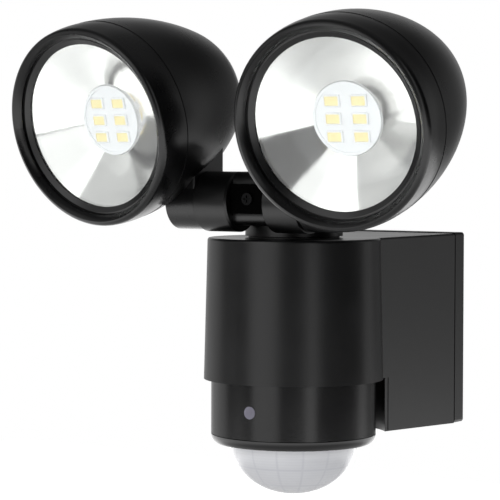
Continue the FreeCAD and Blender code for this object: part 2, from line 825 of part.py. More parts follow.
def housing_cavity():
    """The room inside: open to the wall plate, closed by a partition over the sensor."""
    room = box_profile("cavity_box", "body_wall", "body_wall", f"{housing_back} + 1", ceiling)
    kept = cylinder("cavity_keep", f"{notch_radius} + body_wall", f"body_height * 2", 0, body_y,
                    f"{partition_top} - body_height * 2")
    draft = "((body_bottom_radius - body_top_radius) / body_height)"
    front = cone("cavity_round", f"body_top_radius - body_wall + {draft} * (body_top - {partition_top})",
                 "body_top_radius - body_wall", f"{ceiling} - {partition_top}", 0, body_y, partition_top)
    return fuse("housing_cavity", cut("cavity_back", room, kept), front)


def cheek_grooves():
    """A shallow upright groove beside each edge of the notch, on both sides of the box."""
    setback = f"(sqrt({notch_radius} * {notch_radius} - box_width * box_width / 4) + cheek_groove_setback)"
    return [block(f"cheek_groove{side + 1}", f"({side} * box_width / 2)", f"{body_y} + {setback}",
                  f"{body_bottom} - body_height", "cheek_groove", "cheek_groove", "body_height")
            for side in (-1, 1)]


def housing():
    """The moulded housing: round front, box, screw pads, board ribs and the holes for what turns in it."""
    skirt = cylinder("housing_skirt", "ring_radius + skirt_gap", "skirt_depth + 1", 0, body_y,
                     f"{body_bottom} - 1")
    top_hole = cylinder("housing_top_hole", "hub_neck + running_fit", "body_top_wall + 2", 0, body_y,
                        f"{ceiling} - 1")
    low_hole = cylinder("housing_low_hole", "sensor_neck + running_fit", "partition + 2", 0, body_y,
                        f"{partition_bottom} - 1")
    shell = cut("housing_shell", housing_outside(), housing_cavity(), skirt, top_hole, low_hole,
                *cheek_grooves())
    added = []
    taken = []
    for side in (-1, 1):
        x = f"({side} * housing_screw_spacing / 2)"
        added.append(block(f"screw_pad{side + 1}", x, f"{screw_y} - screw_pad / 2",
                           f"{box_under_screw} + 1", "screw_pad", "screw_pad",
                           "screw_pad_thickness - 1 - snug"))
        taken.append(cylinder(f"pad_recess{side + 1}", "housing_screw_head / 2 + moving_gap",
                              "housing_screw_recess + 2", x, screw_y, f"{box_under_screw} - 2"))
        taken.append(cylinder(f"pad_hole{side + 1}", "housing_screw / 2 + 2 * snug",
                              "screw_pad_thickness + 2", x, screw_y, f"{box_under_screw} - 1"))
        inner = f"({side} * (box_width / 2 - body_wall - rib / 2 + 2 * snug))"
        for row, y in enumerate(("-board_setback - board_thickness / 2 - snug - rib",
                                 "-board_setback + board_thickness / 2 + snug")):
            added.append(block(f"board_rib{side + 1}{row}", inner, y, "-board_drop", "rib + 4 * snug",
                               "rib", "board_height"))
        added.append(block(f"control_post{side + 1}",
                           f"({side} * (control_board_width - control_post_depth) / 2)",
                           "-knob_setback - control_post_depth / 2",
                           f"{box_under_knob} + body_wall / 2", "control_post_width",
                           "control_post_depth", "control_board_height - body_wall / 2"))
        knob_x = f"({side} * knob_spacing / 2)"
        well = "(knob_diameter / 2 + knob_well_gap)"
        added.append(cylinder(f"knob_well{side + 1}", f"{well} + knob_well_wall", f"{knob_well_depth}",
                              knob_x, "-knob_setback", f"{box_under_knob} + body_wall / 2"))
        taken.append(cylinder(f"knob_well_room{side + 1}", well, "2 * knob_height", knob_x, "-knob_setback",
                              f"{box_under_knob} + knob_height + 2 * knob_gap - 2 * knob_height"))
        taken.append(cylinder(f"knob_hole{side + 1}", "knob_stem / 2 + running_fit", "3 * knob_height",
                              knob_x, "-knob_setback", box_under_knob))
    return piece("housing", cut("housing", fuse("housing_whole", shell, *added), *taken))


def housing_screws():
    """Two cross-head screws that go up through the box into the wall plate's lugs."""
    screws = [place(screw(f"housing_screw{side + 1}", "housing_screw / 2", "housing_screw_length",
                          "housing_screw_head / 2", "housing_screw_head_height"),
                    f"{side} * housing_screw_spacing / 2", screw_y,
                    f"{box_under_screw} + housing_screw_recess")
              for side in (-1, 1)]
    return piece("housing_screws", group("housing_screws", *screws))


def driver_board():
    """The circuit board that slides between the housing's ribs."""
    return piece("driver_board", block("driver_board", 0, "-board_setback - board_thickness / 2",
                                       "-board_drop", "box_width - 2 * body_wall - 4 * snug",
                                       "board_thickness", "board_height"))


def board_parts():
    """What stands on the board: transformer, capacitor and relay."""
    face = "(-board_setback - board_thickness / 2)"
    x = "(-transformer_aside)"
    low = "(transformer_bottom - board_drop)"
    core = block("transformer_frame", x, f"{face} - transformer_depth", low, "transformer_width",
                 "transformer_depth", "transformer_core")
    coil = block("transformer_coil", x, f"{face} - transformer_depth + coil_inset",
                 f"{low} - (transformer_height - transformer_core) / 2",
                 "transformer_width - 4 * coil_inset", "transformer_depth - coil_inset",
                 "transformer_height")
    piece("transformer", fuse("transformer", core, coil))
    can = cylinder("capacitor_can", "capacitor_diameter / 2", "capacitor_height", "capacitor_aside",
                   f"{face} - capacitor_diameter / 2", "capacitor_bottom - board_drop")
    piece("capacitor", can)
    piece("relay", block("relay", "(-relay_aside)", f"{face} - relay_depth", "relay_bottom - board_drop",
                         "relay_width", "relay_depth", "relay_height"))


def terminal_block():
    """The mains connector on the plate's floor, with one clamp screw to each wire."""
    width = "(terminal_pitch * terminal_count)"
    base = block("terminal_base", 0, "-plate_floor - terminal_depth", "terminal_bottom", width,
                 "terminal_depth", "terminal_height")
    holes = []
    screws = []
    middle = "(terminal_bottom + terminal_height / 2)"
    for number in (-1, 0, 1):
        x = f"({number} * terminal_pitch)"
        holes.append(cylinder(f"terminal_entry{number + 1}", "terminal_entry / 2", "terminal_height + 2",
                              x, "-plate_floor - terminal_depth * 0.4", "terminal_bottom - 1"))
        holes.append(cylinder(f"terminal_well{number + 1}", "terminal_screw_head / 2 + snug",
                              "terminal_depth * 0.3 + 1", x, "-plate_floor - terminal_depth - 1",
                              middle, "Y"))
        clamp = screw(f"terminal_screw{number + 1}", "terminal_screw / 2", "terminal_screw_length",
                      "terminal_screw_head / 2", "terminal_screw / 2")
        screws.append(place(clamp, x, "-plate_floor - terminal_depth * 0.7 - terminal_screw_length",
                            middle, "Y"))
    piece("terminal_block", cut("terminal_block", base, *holes))
    piece("terminal_screws", group("terminal_screws", *screws))


def controls():
    """The two setting knobs under the box, their potentiometers and the small board that carries them."""
    board_z = f"({box_under_knob} + control_board_height)"
    piece("control_board", block("control_board", 0, "-knob_setback - control_board_depth / 2", board_z,
                                 "control_board_width", "control_board_depth", "board_thickness"))
    pots = []
    for name, side in (("time_knob", -1), ("lux_knob", 1)):
        x = f"({side} * knob_spacing / 2)"
        bottom = f"({box_under_knob} + knob_gap)"
        head = cylinder(name + "_head", "knob_diameter / 2", "knob_height", x, "-knob_setback", bottom)
        stem = cylinder(name + "_stem", "knob_stem / 2",
                        f"{board_z} - pot_height - moving_gap - {bottom}", x, "-knob_setback", bottom)
        slot = block(name + "_slot", x, "-knob_setback - knob_diameter", f"{bottom} - 1", "knob_slot",
                     "knob_diameter * 2", "1 + knob_height / 2")
        piece(name, cut(name, fuse(name + "_body", head, stem), slot))
        pots.append(block(f"pot{side + 1}", x, "-knob_setback - pot_size / 2", f"{board_z} - pot_height",
                          "pot_size", "pot_size", "pot_height"))
    piece("control_pots", group("control_pots", *pots))


def sensor_ring():
    """The sensor's turning cup: a hollow neck up through the partition and a hole for the window."""
    cup = turned("sensor_cup",
                 ("sensor_neck_bore", f"{partition_top} + sensor_nut_height + sensor_neck_end"),
                 ("sensor_neck_bore", f"{ring_top_z} - ring_top"),
                 ("ring_radius - ring_wall", f"{ring_top_z} - ring_top"),
                 ("ring_radius - ring_wall", ring_bottom_z),
                 ("ring_radius", ring_bottom_z),
                 ("ring_radius", ring_top_z),
                 ("sensor_neck", ring_top_z),
                 ("sensor_neck", f"{partition_top} + sensor_nut_height + sensor_neck_end"))
    place(cup, 0, body_y, 0)
    window = cylinder("window_hole", "window_diameter / 2 + snug / 2", "ring_wall + 4", "window_aside",
                      f"{body_y} - ring_radius - 2", "body_top - window_drop", "Y")
    seat = tube("window_seat", "window_diameter / 2 + window_seat_wall",
                "window_diameter / 2 + snug / 2", "window_depth + window_seat_tail",
                "window_aside", f"{body_y} - ring_radius + ring_wall / 2", "body_top - window_drop", "Y")
    return piece("sensor_ring", fuse("sensor_ring", cut("sensor_cup_cut", cup, window), seat))


def sensor_nut():
    """The ring nut above the partition that keeps the sensor in the housing."""
    ring = tube("sensor_nut", "sensor_nut_radius", "sensor_neck", "sensor_nut_height", 0, body_y,
                f"{partition_top} + moving_gap")
    return piece("sensor_nut", ring)


def sensor_bezel():
    """The rounded ring that closes the cup from below and holds the dome."""
    top = f"({bezel_bottom_z} + bezel_chamfer_height)"
    inside = "(ring_radius - ring_wall - snug)"
    ring = turned("bezel_ring",
                  ("dome_radius + snug", bezel_bottom_z),
                  ("ring_radius - bezel_chamfer_width", bezel_bottom_z, "bezel_round"),
                  ("ring_radius", top),
                  (inside, top),
                  (inside, f"{top} + bezel_lip_height"),
                  (f"{inside} - bezel_lip_wall", f"{top} + bezel_lip_height"),
                  (f"{inside} - bezel_lip_wall", f"{bezel_bottom_z} + bezel_floor"),
                  ("dome_radius + snug", f"{bezel_bottom_z} + bezel_floor"))
    return piece("sensor_bezel", place(ring, 0, body_y, 0))


def fresnel_dome():
    """The milky lens dome: a half ellipsoid on a short collar with a flange inside the bezel."""
    floor = f"({bezel_bottom_z} + bezel_floor)"
    shells = []
    for name, inset in (("dome_outside", "0"), ("dome_inside", "dome_wall")):
        shell = document.addObject("Part::Ellipsoid", name)
        shell.Angle1 = -90
        shell.Angle2 = 0
        bind(shell, Radius1=f"dome_height - {inset}", Radius2=f"dome_radius - {inset}")
        shells.append(place(shell, 0, body_y, bezel_bottom_z))
    collar = cylinder("dome_collar", "dome_radius", "bezel_floor", 0, body_y, bezel_bottom_z)
    flange = cylinder("dome_flange", "dome_radius + dome_flange", "dome_flange_thickness", 0, body_y, floor)
    bore = cylinder("dome_bore", "dome_radius - dome_wall", "bezel_floor + 2 * dome_flange_thickness",
                    0, body_y, bezel_bottom_z)
    return piece("fresnel_dome", cut("fresnel_dome", fuse("dome_body", shells[0], collar, flange),
                                     shells[1], bore))


def dome_clamp():
    """The ring inside the bezel that presses the dome's flange down."""
    base = f"({bezel_bottom_z} + bezel_floor + dome_flange_thickness)"
    ring = tube("dome_clamp", "ring_radius - ring_wall - bezel_lip_wall - 2 * snug",
                "dome_radius - dome_wall", "dome_clamp_thickness", 0, body_y, base)
    return piece("dome_clamp", ring)


def sensor_parts():
    """The sensor's board on the clamp's posts, the heat sensor, the photocell and its window."""
    clamp_top = f"({bezel_bottom_z} + bezel_floor + dome_flange_thickness + dome_clamp_thickness)"
    board_z = f"({clamp_top} + board_spacer_height)"
    board = cylinder("sensor_board", "sensor_board_radius", "board_thickness", 0, body_y, board_z)
    piece("sensor_board", board)
    piece("board_spacer", tube("board_spacer", "sensor_board_radius - 2 * snug", "dome_radius",
                               "board_spacer_height", 0, body_y, clamp_top))
    can = cylinder("pyro_can", "pyro_radius", "pyro_height", 0, body_y, f"{board_z} - pyro_height")
    foot = cylinder("pyro_base", "pyro_radius + pyro_foot", "pyro_foot", 0, body_y,
                    f"{board_z} - pyro_foot")
    piece("pyro_sensor", fuse("pyro_sensor", can, foot))
    window_z = "(body_top - window_drop)"
    front = f"({body_y} - ring_radius)"
    glass = cylinder("window_glass", "window_diameter / 2", "window_depth", "window_aside",
                     f"{front} - window_proud", window_z, "Y")
    piece("photocell_window", glass)
    piece("photocell", cylinder("photocell", "photocell_diameter / 2", "photocell_depth", "window_aside",
                                f"{front} - window_proud + window_depth", window_z, "Y"))


def hub_arm(front, underside, back, top):
    """The block between the collars, running back over the hub, seen from the side."""
    return extruded("hub_arm", "YZ_Plane", "-block_half_width", "2 * block_half_width",
                    (f"{front} + block_corner", underside),
                    (back, underside),
                    (back, f"{top} - arm_round", "arm_round"),
                    (f"{back} - arm_round", top),
                    (f"{front} + block_corner", top, "block_corner"),
                    (front, f"{top} - block_corner"),
                    (front, f"{underside} + block_corner", "block_corner"))


def collar(side):
    """One collar of the barrel, made on the right, with a bevelled inner rim; the left one is mirrored."""
    length = "(collar_outer - block_half_width - collar_chamfer)"
    rim = cone(f"collar_rim_{side}", "barrel_radius - collar_chamfer", "barrel_radius", "collar_chamfer",
               "block_half_width", barrel_y, barrel_z, "X")
    barrel = cylinder(f"collar_barrel_{side}", "barrel_radius", length, "block_half_width + collar_chamfer",
                      barrel_y, barrel_z, "X")
    whole = fuse(f"collar_{side}", rim, barrel)
    return whole if side == "right" else mirror(f"collar_{side}_mirrored", whole)


def hub():
    """The swivelling foot, its forward arm and the cross barrel that carries both heads."""
    front = f"({barrel_y} - block_front)"
    disc = cylinder("hub_disc", "hub_radius", "hub_height", 0, body_y, hub_floor)
    neck_tube = cylinder("hub_neck", "hub_neck", f"{hub_floor} - {ceiling} + hub_nut_height + hub_neck_end",
                         0, body_y, f"{ceiling} - hub_nut_height - hub_neck_end")
    arm = hub_arm(front, f"({barrel_z} - block_underside)", f"({body_y} + arm_back)",
                  f"({barrel_z} + barrel_radius)")
    hollow = cylinder("collar_hollow", "collar_bore", "2 * (collar_outer - collar_wall)",
                      "-(collar_outer - collar_wall)", barrel_y, barrel_z, "X")
    kept = cylinder("block_kept", "collar_bore + 1", "2 * block_half_width", "-block_half_width", barrel_y,
                    barrel_z, "X")
    passage = cylinder("block_bore", "block_bore", "2 * block_half_width", "-block_half_width", barrel_y,
                       barrel_z, "X")
    pivots = cylinder("pivot_holes", "tube_radius + snug / 2", "2 * collar_outer + 2", "-collar_outer - 1",
                      barrel_y, barrel_z, "X")
    channel = cylinder("arm_channel", "arm_channel_radius", "barrel_forward", 0, barrel_y, barrel_z, "Y")
    bore = cylinder("hub_bore", "hub_bore", f"{barrel_z} - {ceiling} + hub_nut_height + 2 * hub_neck_end",
                    0, body_y, f"{ceiling} - hub_nut_height - 2 * hub_neck_end")
    openings = [block(f"wire_opening{side + 1}", f"({side} * (cover_web + wire_opening_width) / 2)",
                      f"{front} - 1", f"{barrel_z} - wire_opening_height / 2", "wire_opening_width",
                      "block_front", "wire_opening_height")
                for side in (-1, 1)]
    web = block("cover_web", 0, f"{front} + cover_thickness", f"{barrel_z} - block_bore", "cover_web",
                "block_front - cover_thickness", "2 * block_bore")
    screw_hole = cylinder("cover_screw_hole", "cover_screw / 2 + snug / 2", "cover_screw_length + 1", 0,
                          f"{front} - 1", f"{barrel_z} + cover_rise", "Y")
    outside = fuse("hub_outside", disc, neck_tube, arm, collar("right"), collar("left"))
    hollowed = cut("hub_hollow", outside, cut("collar_room", hollow, kept), passage, pivots, channel, bore,
                   *openings)
    return piece("hub", cut("hub", fuse("hub_whole", hollowed, web), screw_hole))


def hub_fittings():
    """The washer under the hub, the nut inside the housing, and the cover of the wiring openings."""
    piece("hub_washer", tube("hub_washer", "hub_washer_radius", "hub_neck + 3 * snug", "hub_washer",
                             0, body_y, "body_top"))
    piece("hub_nut", tube("hub_nut", "hub_nut_radius", "hub_neck", "hub_nut_height", 0, body_y,
                          f"{ceiling} - moving_gap - hub_nut_height"))
    front = f"({barrel_y} - block_front)"
    middle = f"({barrel_z} + cover_rise)"
    plate = block("cover_plate", 0, f"{front} - cover_thickness", f"{middle} - cover_height / 2",
                  "2 * block_half_width - 4 * snug", "cover_thickness", "cover_height")
    hole = cylinder("cover_hole", "cover_screw / 2 + snug", "cover_thickness + 2", 0,
                    f"{front} - cover_thickness - 1", middle, "Y")
    piece("bracket_cover", cut("bracket_cover", plate, hole))
    fastener = screw("cover_screw", "cover_screw / 2", "cover_screw_length", "cover_screw_head / 2",
                     "cover_screw_head_height")
    piece("cover_screw", place(fastener, 0, f"{front} - cover_thickness", middle, "Y"))


def mirror(name, thing):
    """The same solid on the left."""
    copy = document.addObject("Part::Mirroring", name)
    copy.Source = thing
    copy.Normal = FreeCAD.Vector(1, 0, 0)
    return copy


def on_side(label, side, thing):
    """Finish a piece made on the right; the left one is its mirror image."""
    if side == "left":
        thing = mirror(f"{label}_mirrored", thing)
    return piece(f"{label}_{side}", thing)


def pivot(side):
    """The hollow threaded tube through collar and boss, its two nuts and the washer between them."""
    first = "(collar_outer - collar_wall - nut_height - tube_overhang)"
    last = f"({boss_inner} + boss_wall + moving_gap + nut_height + tube_overhang)"
    on_side("pivot_tube", side, tube(f"tube_{side}", "tube_radius", "tube_bore", f"{last} - {first}",
                                     first, barrel_y, barrel_z, "X"))
    nuts = []
    for number, x in enumerate(("collar_outer - collar_wall - nut_height",
                                f"{boss_inner} + boss_wall + moving_gap")):
        hexagon = document.addObject("Part::Prism", f"nut_{side}{number}")
        hexagon.Polygon = 6
        bind(hexagon, Circumradius="nut_flats / sqrt(3)", Height="nut_height")
        place(hexagon, x, barrel_y, barrel_z, "X")
        bore = cylinder(f"nut_bore_{side}{number}", "tube_radius", "nut_height", x, barrel_y, barrel_z, "X")
        nuts.append(cut(f"nut_cut_{side}{number}", hexagon, bore))
    on_side("pivot_nuts", side, group(f"nuts_{side}", *nuts))
    on_side("pivot_washer", side, tube(f"washer_{side}", "pivot_washer_radius", "tube_radius + 2 * snug",
                                       "pivot_washer", "collar_outer", barrel_y, barrel_z, "X"))


def on_lamp_axis(solid, side, x=0.0, y=0.0, z=0.0):
    """Put a solid in the lamp's frame: Z runs out of the lamp, the origin is the middle of the aperture."""
    middle = FreeCAD.Vector(value("head_side"), value(f"-head_forward_{side}"),
                            value("body_top + head_rise"))
    toe = FreeCAD.Rotation(FreeCAD.Vector(0, 0, 1), value(f"head_toe_{side}"))
    tilt = FreeCAD.Rotation(FreeCAD.Vector(1, 0, 0), 90 + value("head_tilt"))
    lamp = FreeCAD.Placement(middle, toe.multiply(tilt))
    solid.Placement = lamp.multiply(FreeCAD.Placement(FreeCAD.Vector(x, y, z), FreeCAD.Rotation()))
    return solid


def lamp_cylinder(name, side, radius, height, x, y, z):
    """A cylinder along the lamp axis; z is its end nearest the back."""
    solid = document.addObject("Part::Cylinder", name)
    bind(solid, Radius=radius, Height=height)
    return on_lamp_axis(solid, side, x, y, value(z))


def lamp_box(name, side, x, y, z, width, depth, height):
    """A block in the lamp's frame, from the corner given."""
    solid = document.addObject("Part::Box", name)
    bind(solid, Length=width, Width=depth, Height=height)
    return on_lamp_axis(solid, side, value(x), value(y), value(z))


def lamp_turned(name, side, *corners):
    """A piece turned about the lamp axis, from (radius, distance behind the aperture) corners."""
    body = turned(name, *[(corner[0], f"-({corner[1]})") + tuple(corner[2:]) for corner in corners])
    return on_lamp_axis(body, side)


def screw_circle():
    """Where the head's three screws sit, seen along the lamp axis."""
    radius = value("head_screw_circle")
    for number in range(3):
        angle = math.radians(90 + 120 * number)
        yield number, radius * math.cos(angle), radius * math.sin(angle)


def egg(name, side, inset, front):
    """The egg-shaped rear form: two tangent arcs turned about the lamp axis."""
    nose = f"(nose_radius - {inset})"
    flank = f"({side_radius} - {inset})"
    share = f"(({side_radius} - head_radius) / ({side_radius} - nose_radius))"
    drop = f"((head_length - nose_radius) / ({side_radius} - nose_radius))"
    nose_centre = "(head_widest + head_length - nose_radius)"
    return lamp_turned(name, side,
                       ("0", f"head_widest + head_length - {inset}", nose),
                       (f"{nose} * {share}", f"{nose_centre} + {nose} * {drop}", flank),
                       (f"head_radius - {inset}", "head_widest"),
                       (f"head_radius - {inset}", front),
                       ("0", front))


def neck(side):
    """The upright column between the pivot boss and the egg, with rounded corners."""
    near = f"({barrel_y} - neck_half_depth)"
    far = f"({barrel_y} + neck_half_depth)"
    return extruded(f"neck_{side}", "XY_Plane", barrel_z, "head_rise - barrel_rise",
                    (boss_inner, f"{near} + neck_corner", "neck_corner"),
                    (f"{boss_inner} + neck_corner", near),
                    ("boss_outer - neck_corner", near, "neck_corner"),
                    ("boss_outer", f"{near} + neck_corner"),
                    ("boss_outer", f"{far} - neck_corner", "neck_corner"),
                    ("boss_outer - neck_corner", far),
                    (f"{boss_inner} + neck_corner", far, "neck_corner"),
                    (boss_inner, f"{far} - neck_corner"))


def head_shell(side):
    """The rear shell of a head, with the neck and the pivot boss moulded onto it."""
    boss_width = f"(boss_outer - {boss_inner})"
    boss = cylinder(f"boss_{side}", "boss_radius", boss_width, boss_inner, barrel_y, barrel_z, "X")
    whole = fuse(f"shell_whole_{side}", egg(f"shell_outside_{side}", side, "0", "head_widest - 1"),
                 boss, neck(side))
    inside = egg(f"shell_inside_{side}", side, "shell_wall", "head_widest - 2")
    seat = lamp_cylinder(f"spigot_seat_{side}", side, "head_radius - shell_wall", "spigot_length + snug",
                         0, 0, "-shell_seam - spigot_length - snug")
    front = lamp_cylinder(f"seam_cut_{side}", side, "head_radius * 2", "head_length", 0, 0, "-shell_seam")
    hollow = cylinder(f"boss_hollow_{side}", "boss_bore", f"{boss_width} - 2 * boss_wall",
                      f"{boss_inner} + boss_wall", barrel_y, barrel_z, "X")
    channel = block(f"neck_channel_{side}", f"({boss_inner} + boss_outer) / 2",
                    f"{barrel_y} - neck_channel_half_depth", barrel_z, f"{boss_width} - 2 * boss_wall",
                    "2 * neck_channel_half_depth", "head_rise")
    hole = cylinder(f"boss_hole_{side}", "tube_radius + running_fit", "boss_wall + 2", f"{boss_inner} - 1",
                    barrel_y, barrel_z, "X")
    on_side("head_shell", side, cut(f"shell_{side}", whole, inside, seat, front, hollow, channel, hole))


def head_bezel(side):
    """The front ring: rounded rim, grooved face, lip round the lens and spigot into the shell."""
    spigot = "(head_radius - shell_wall - snug)"
    spigot_end = "(shell_seam + spigot_length)"
    ring = lamp_turned(f"bezel_ring_{side}", side,
                       ("aperture_radius", "0"),
                       ("aperture_radius", "lens_front"),
                       ("lens_radius + snug", "lens_front"),
                       ("lens_radius + snug", "lens_thickness + lens_seat_margin"),
                       (f"{spigot} - spigot_wall", "lens_thickness + 3 * lens_seat_margin"),
                       (f"{spigot} - spigot_wall", spigot_end),
                       (spigot, spigot_end),
                       (spigot, "shell_seam - snug"),
                       ("head_radius - seam_step", "shell_seam - snug", "bezel_side_radius"),
                       ("head_radius - bezel_taper", "rim_round - rim_forward", "rim_round * 1.2"),
                       ("rim_radius - rim_round / 2", "-rim_forward", "face_bulge"),
                       ("face_inner_radius", "-face_inner_forward"),
                       ("face_inner_radius", "groove_depth - face_inner_forward"),
                       ("face_inner_radius - groove_width", "groove_depth - face_inner_forward"),
                       ("face_inner_radius - groove_width", "-lip_forward"))
    posts = []
    holes = []
    for number, x, y in screw_circle():
        posts.append(lamp_cylinder(f"bezel_post_{side}{number}", side, "head_screw_boss / 2",
                                   "head_screw_boss_length", x, y, f"-{spigot_end}"))
        holes.append(lamp_cylinder(f"bezel_post_hole_{side}{number}", side, "head_screw / 2 + snug / 2",
                                   "head_screw_boss_length", x, y, f"-{spigot_end} - 1"))
    groove = lamp_turned(f"seal_groove_{side}", side,
                         (f"{spigot} - seal_section", "seal_place - seal_section / 2 - snug"),
                         (f"{spigot} + 1", "seal_place - seal_section / 2 - snug"),
                         (f"{spigot} + 1", "seal_place + seal_section / 2 + snug"),
                         (f"{spigot} - seal_section", "seal_place + seal_section / 2 + snug"))
    body = fuse(f"bezel_body_{side}", ring, *posts)
    on_side("bezel", side, cut(f"bezel_{side}", body, groove, *holes))
    seal = document.addObject("Part::Torus", f"seal_{side}")
    bind(seal, Radius1=f"{spigot} + snug / 2 - seal_section / 2", Radius2="seal_section / 2")
    on_side("head_seal", side, on_lamp_axis(seal, side, 0, 0, value("-seal_place")))


def head_optics(side):
    """The clear lens, the conical mirror, and the round board with its rim and six diodes."""
    back = "(lens_front + lens_thickness)"
    mouth = f"({back} + 2 * snug)"
    board_back = "(reflector_back + led_board_thickness)"
    board = "(led_disc_radius - snug)"
    on_side("lens", side, lamp_turned(f"lens_{side}", side, ("0", "lens_front"),
                                      ("lens_radius", "lens_front"), ("lens_radius", back), ("0", back)))
    on_side("reflector", side, lamp_turned(
        f"reflector_{side}", side,
        ("aperture_radius + mirror_lip", mouth),
        ("led_disc_radius", "reflector_back"),
        ("led_disc_radius", board_back),
        ("led_disc_radius + reflector_wall", board_back),
        ("led_disc_radius + reflector_wall", "reflector_back + mirror_lip"),
        ("aperture_radius + reflector_wall", f"{mouth} + reflector_wall"),
        ("lens_radius", f"{mouth} + reflector_wall"),
        ("lens_radius", mouth)))
    on_side("led_board", side, lamp_turned(f"led_board_{side}", side, ("0", "reflector_back"),
                                           (board, "reflector_back"), (board, board_back),
                                           ("0", board_back)))
    on_side("led_rim", side, lamp_turned(
        f"led_rim_{side}", side,
        (f"{board} - led_rim_width", "reflector_back - led_rim_height"),
        (board, "reflector_back - led_rim_height"),
        (board, "reflector_back"),
        (f"{board} - led_rim_width", "reflector_back")))
    chips = [lamp_box(f"led_{side}{column + 1}{row + 1}", side,
                      f"{column} * led_column_pitch / 2 - led_width / 2",
                      f"{row} * led_row_pitch - led_height / 2", "-reflector_back",
                      "led_width", "led_height", "led_thickness")
             for column in (-1, 1) for row in (-1, 0, 1)]
    on_side("led_chips", side, group(f"leds_{side}", *chips))


def heat_sink(side):
    """The aluminium disc behind the board with upright fins, and the three screws that hold it."""
    board_back = "(reflector_back + led_board_thickness)"
    sink_back = f"({sink_front} + sink_thickness)"
    edge = "(head_radius - shell_wall - sink_margin)"
    disc = lamp_turned(f"sink_disc_{side}", side,
                       ("0", board_back),
                       ("led_disc_radius - sink_step", board_back),
                       ("led_disc_radius - sink_step", sink_front),
                       (edge, sink_front),
                       (edge, sink_back),
                       ("0", sink_back))
    limit = lamp_cylinder(f"fin_limit_{side}", side, "fin_radius", "fin_length", 0, 0,
                          f"-{sink_back} - fin_length")
    fins = [lamp_box(f"fin_{side}{number + 3}", side, f"{number} * fin_pitch - fin_thickness / 2",
                     "-fin_radius", f"-{sink_back} - fin_length", "fin_thickness", "2 * fin_radius",
                     "fin_length")
            for number in range(-3, 4)]
    finned = fuse(f"sink_body_{side}", disc,
                  common(f"sink_fins_{side}", fuse(f"sink_all_fins_{side}", *fins), limit))
    holes = []
    screws = []
    for number, x, y in screw_circle():
        holes.append(lamp_cylinder(f"sink_hole_{side}{number}", side, "head_screw / 2 + snug",
                                   "sink_thickness + 2", x, y, f"-{sink_back} - 1"))
        one = screw(f"head_screw_{side}{number}", "head_screw / 2", "sink_thickness + head_screw_grip",
                    "head_screw_head / 2",
                    "head_screw_head_height")
        screws.append(on_lamp_axis(one, side, x, y, value(f"-{sink_back}")))
    on_side("heat_sink", side, cut(f"sink_{side}", finned, *holes))
    on_side("head_screws", side, group(f"head_screws_{side}", *screws))


def write_pieces():
    """Check every object, then write each piece's solid under its name."""
    document.recompute()
    for thing in document.Objects:
        if "Invalid" in thing.State or "Error" in thing.State:
            raise RuntimeError("%s failed: %s" % (thing.Name, thing.State))
    for label, thing in pieces.items():
        if thing.Shape.isNull() or not thing.Shape.isValid() or not thing.Shape.Solids:
            raise RuntimeError("%s has no valid solid" % label)
    os.makedirs("parts", exist_ok=True)
    for label, thing in pieces.items():
        thing.Shape.exportStep("parts/%s.step" % label)
        print("%-22s %2d solid(s) %10.1f mm3" % (label, len(thing.Shape.Solids), thing.Shape.Volume))


wall_plate()
wall_gasket()
cable_grommet()
housing()
housing_screws()
driver_board()
board_parts()
terminal_block()
controls()
sensor_ring()
sensor_nut()
sensor_bezel()
fresnel_dome()
dome_clamp()
sensor_parts()
hub()
hub_fittings()
for side in ("right", "left"):
    pivot(side)
    head_shell(side)
    head_bezel(side)
    head_optics(side)
    heat_sink(side)
write_pieces()
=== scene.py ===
import bpy
import math
from mathutils import Matrix, Vector


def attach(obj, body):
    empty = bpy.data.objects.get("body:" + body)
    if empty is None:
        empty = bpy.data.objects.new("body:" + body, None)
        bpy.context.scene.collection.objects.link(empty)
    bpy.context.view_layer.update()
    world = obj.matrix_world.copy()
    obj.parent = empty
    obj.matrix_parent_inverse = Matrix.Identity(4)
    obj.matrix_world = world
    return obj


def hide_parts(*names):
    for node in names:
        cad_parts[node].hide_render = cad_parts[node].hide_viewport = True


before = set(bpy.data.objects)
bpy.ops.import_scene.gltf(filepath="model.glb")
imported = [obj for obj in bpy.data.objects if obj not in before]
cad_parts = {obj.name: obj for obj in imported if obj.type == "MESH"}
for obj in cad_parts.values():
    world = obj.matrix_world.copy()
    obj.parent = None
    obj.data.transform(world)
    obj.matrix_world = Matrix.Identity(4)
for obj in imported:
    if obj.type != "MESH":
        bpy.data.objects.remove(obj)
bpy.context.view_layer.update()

# ---------------------------------------------------------------- wall plate, gasket and cable grommet
# The tray that is screwed to the wall is injection-moulded ABS with a spark-eroded grain.
# A frame of black rubber is squeezed between it and the housing, and a soft grommet closes the cable hole.


def linear(colour):
    """An sRGB hex colour as the linear colour that a shader takes."""
    parts = [int(colour[start:start + 2], 16) / 255 for start in (1, 3, 5)]
    return [part / 12.92 if part <= 0.04045 else ((part + 0.055) / 1.055) ** 2.4 for part in parts] + [1]


def new_material(name):
    """An empty material with a shader, and the Object coordinates that its patterns read."""
    material = bpy.data.materials.new(name)
    material.use_nodes = True
    material.node_tree.nodes.clear()
    output = material.node_tree.nodes.new("ShaderNodeOutputMaterial")
    shader = material.node_tree.nodes.new("ShaderNodeBsdfPrincipled")
    material.node_tree.links.new(shader.outputs[0], output.inputs["Surface"])
    place = material.node_tree.nodes.new("ShaderNodeTexCoord").outputs["Object"]
    return material, shader, place


def add_node(material, kind, settings, links):
    """Add a node: settings name its properties and inputs, links say which output feeds which input."""
    node = material.node_tree.nodes.new("ShaderNode" + kind)
    for name, setting in settings.items():
        if isinstance(name, str) and hasattr(node, name):
            setattr(node, name, setting)
        else:
            node.inputs[name].default_value = setting
    for name, source in links.items():
        material.node_tree.links.new(source, node.inputs[name])
    return node


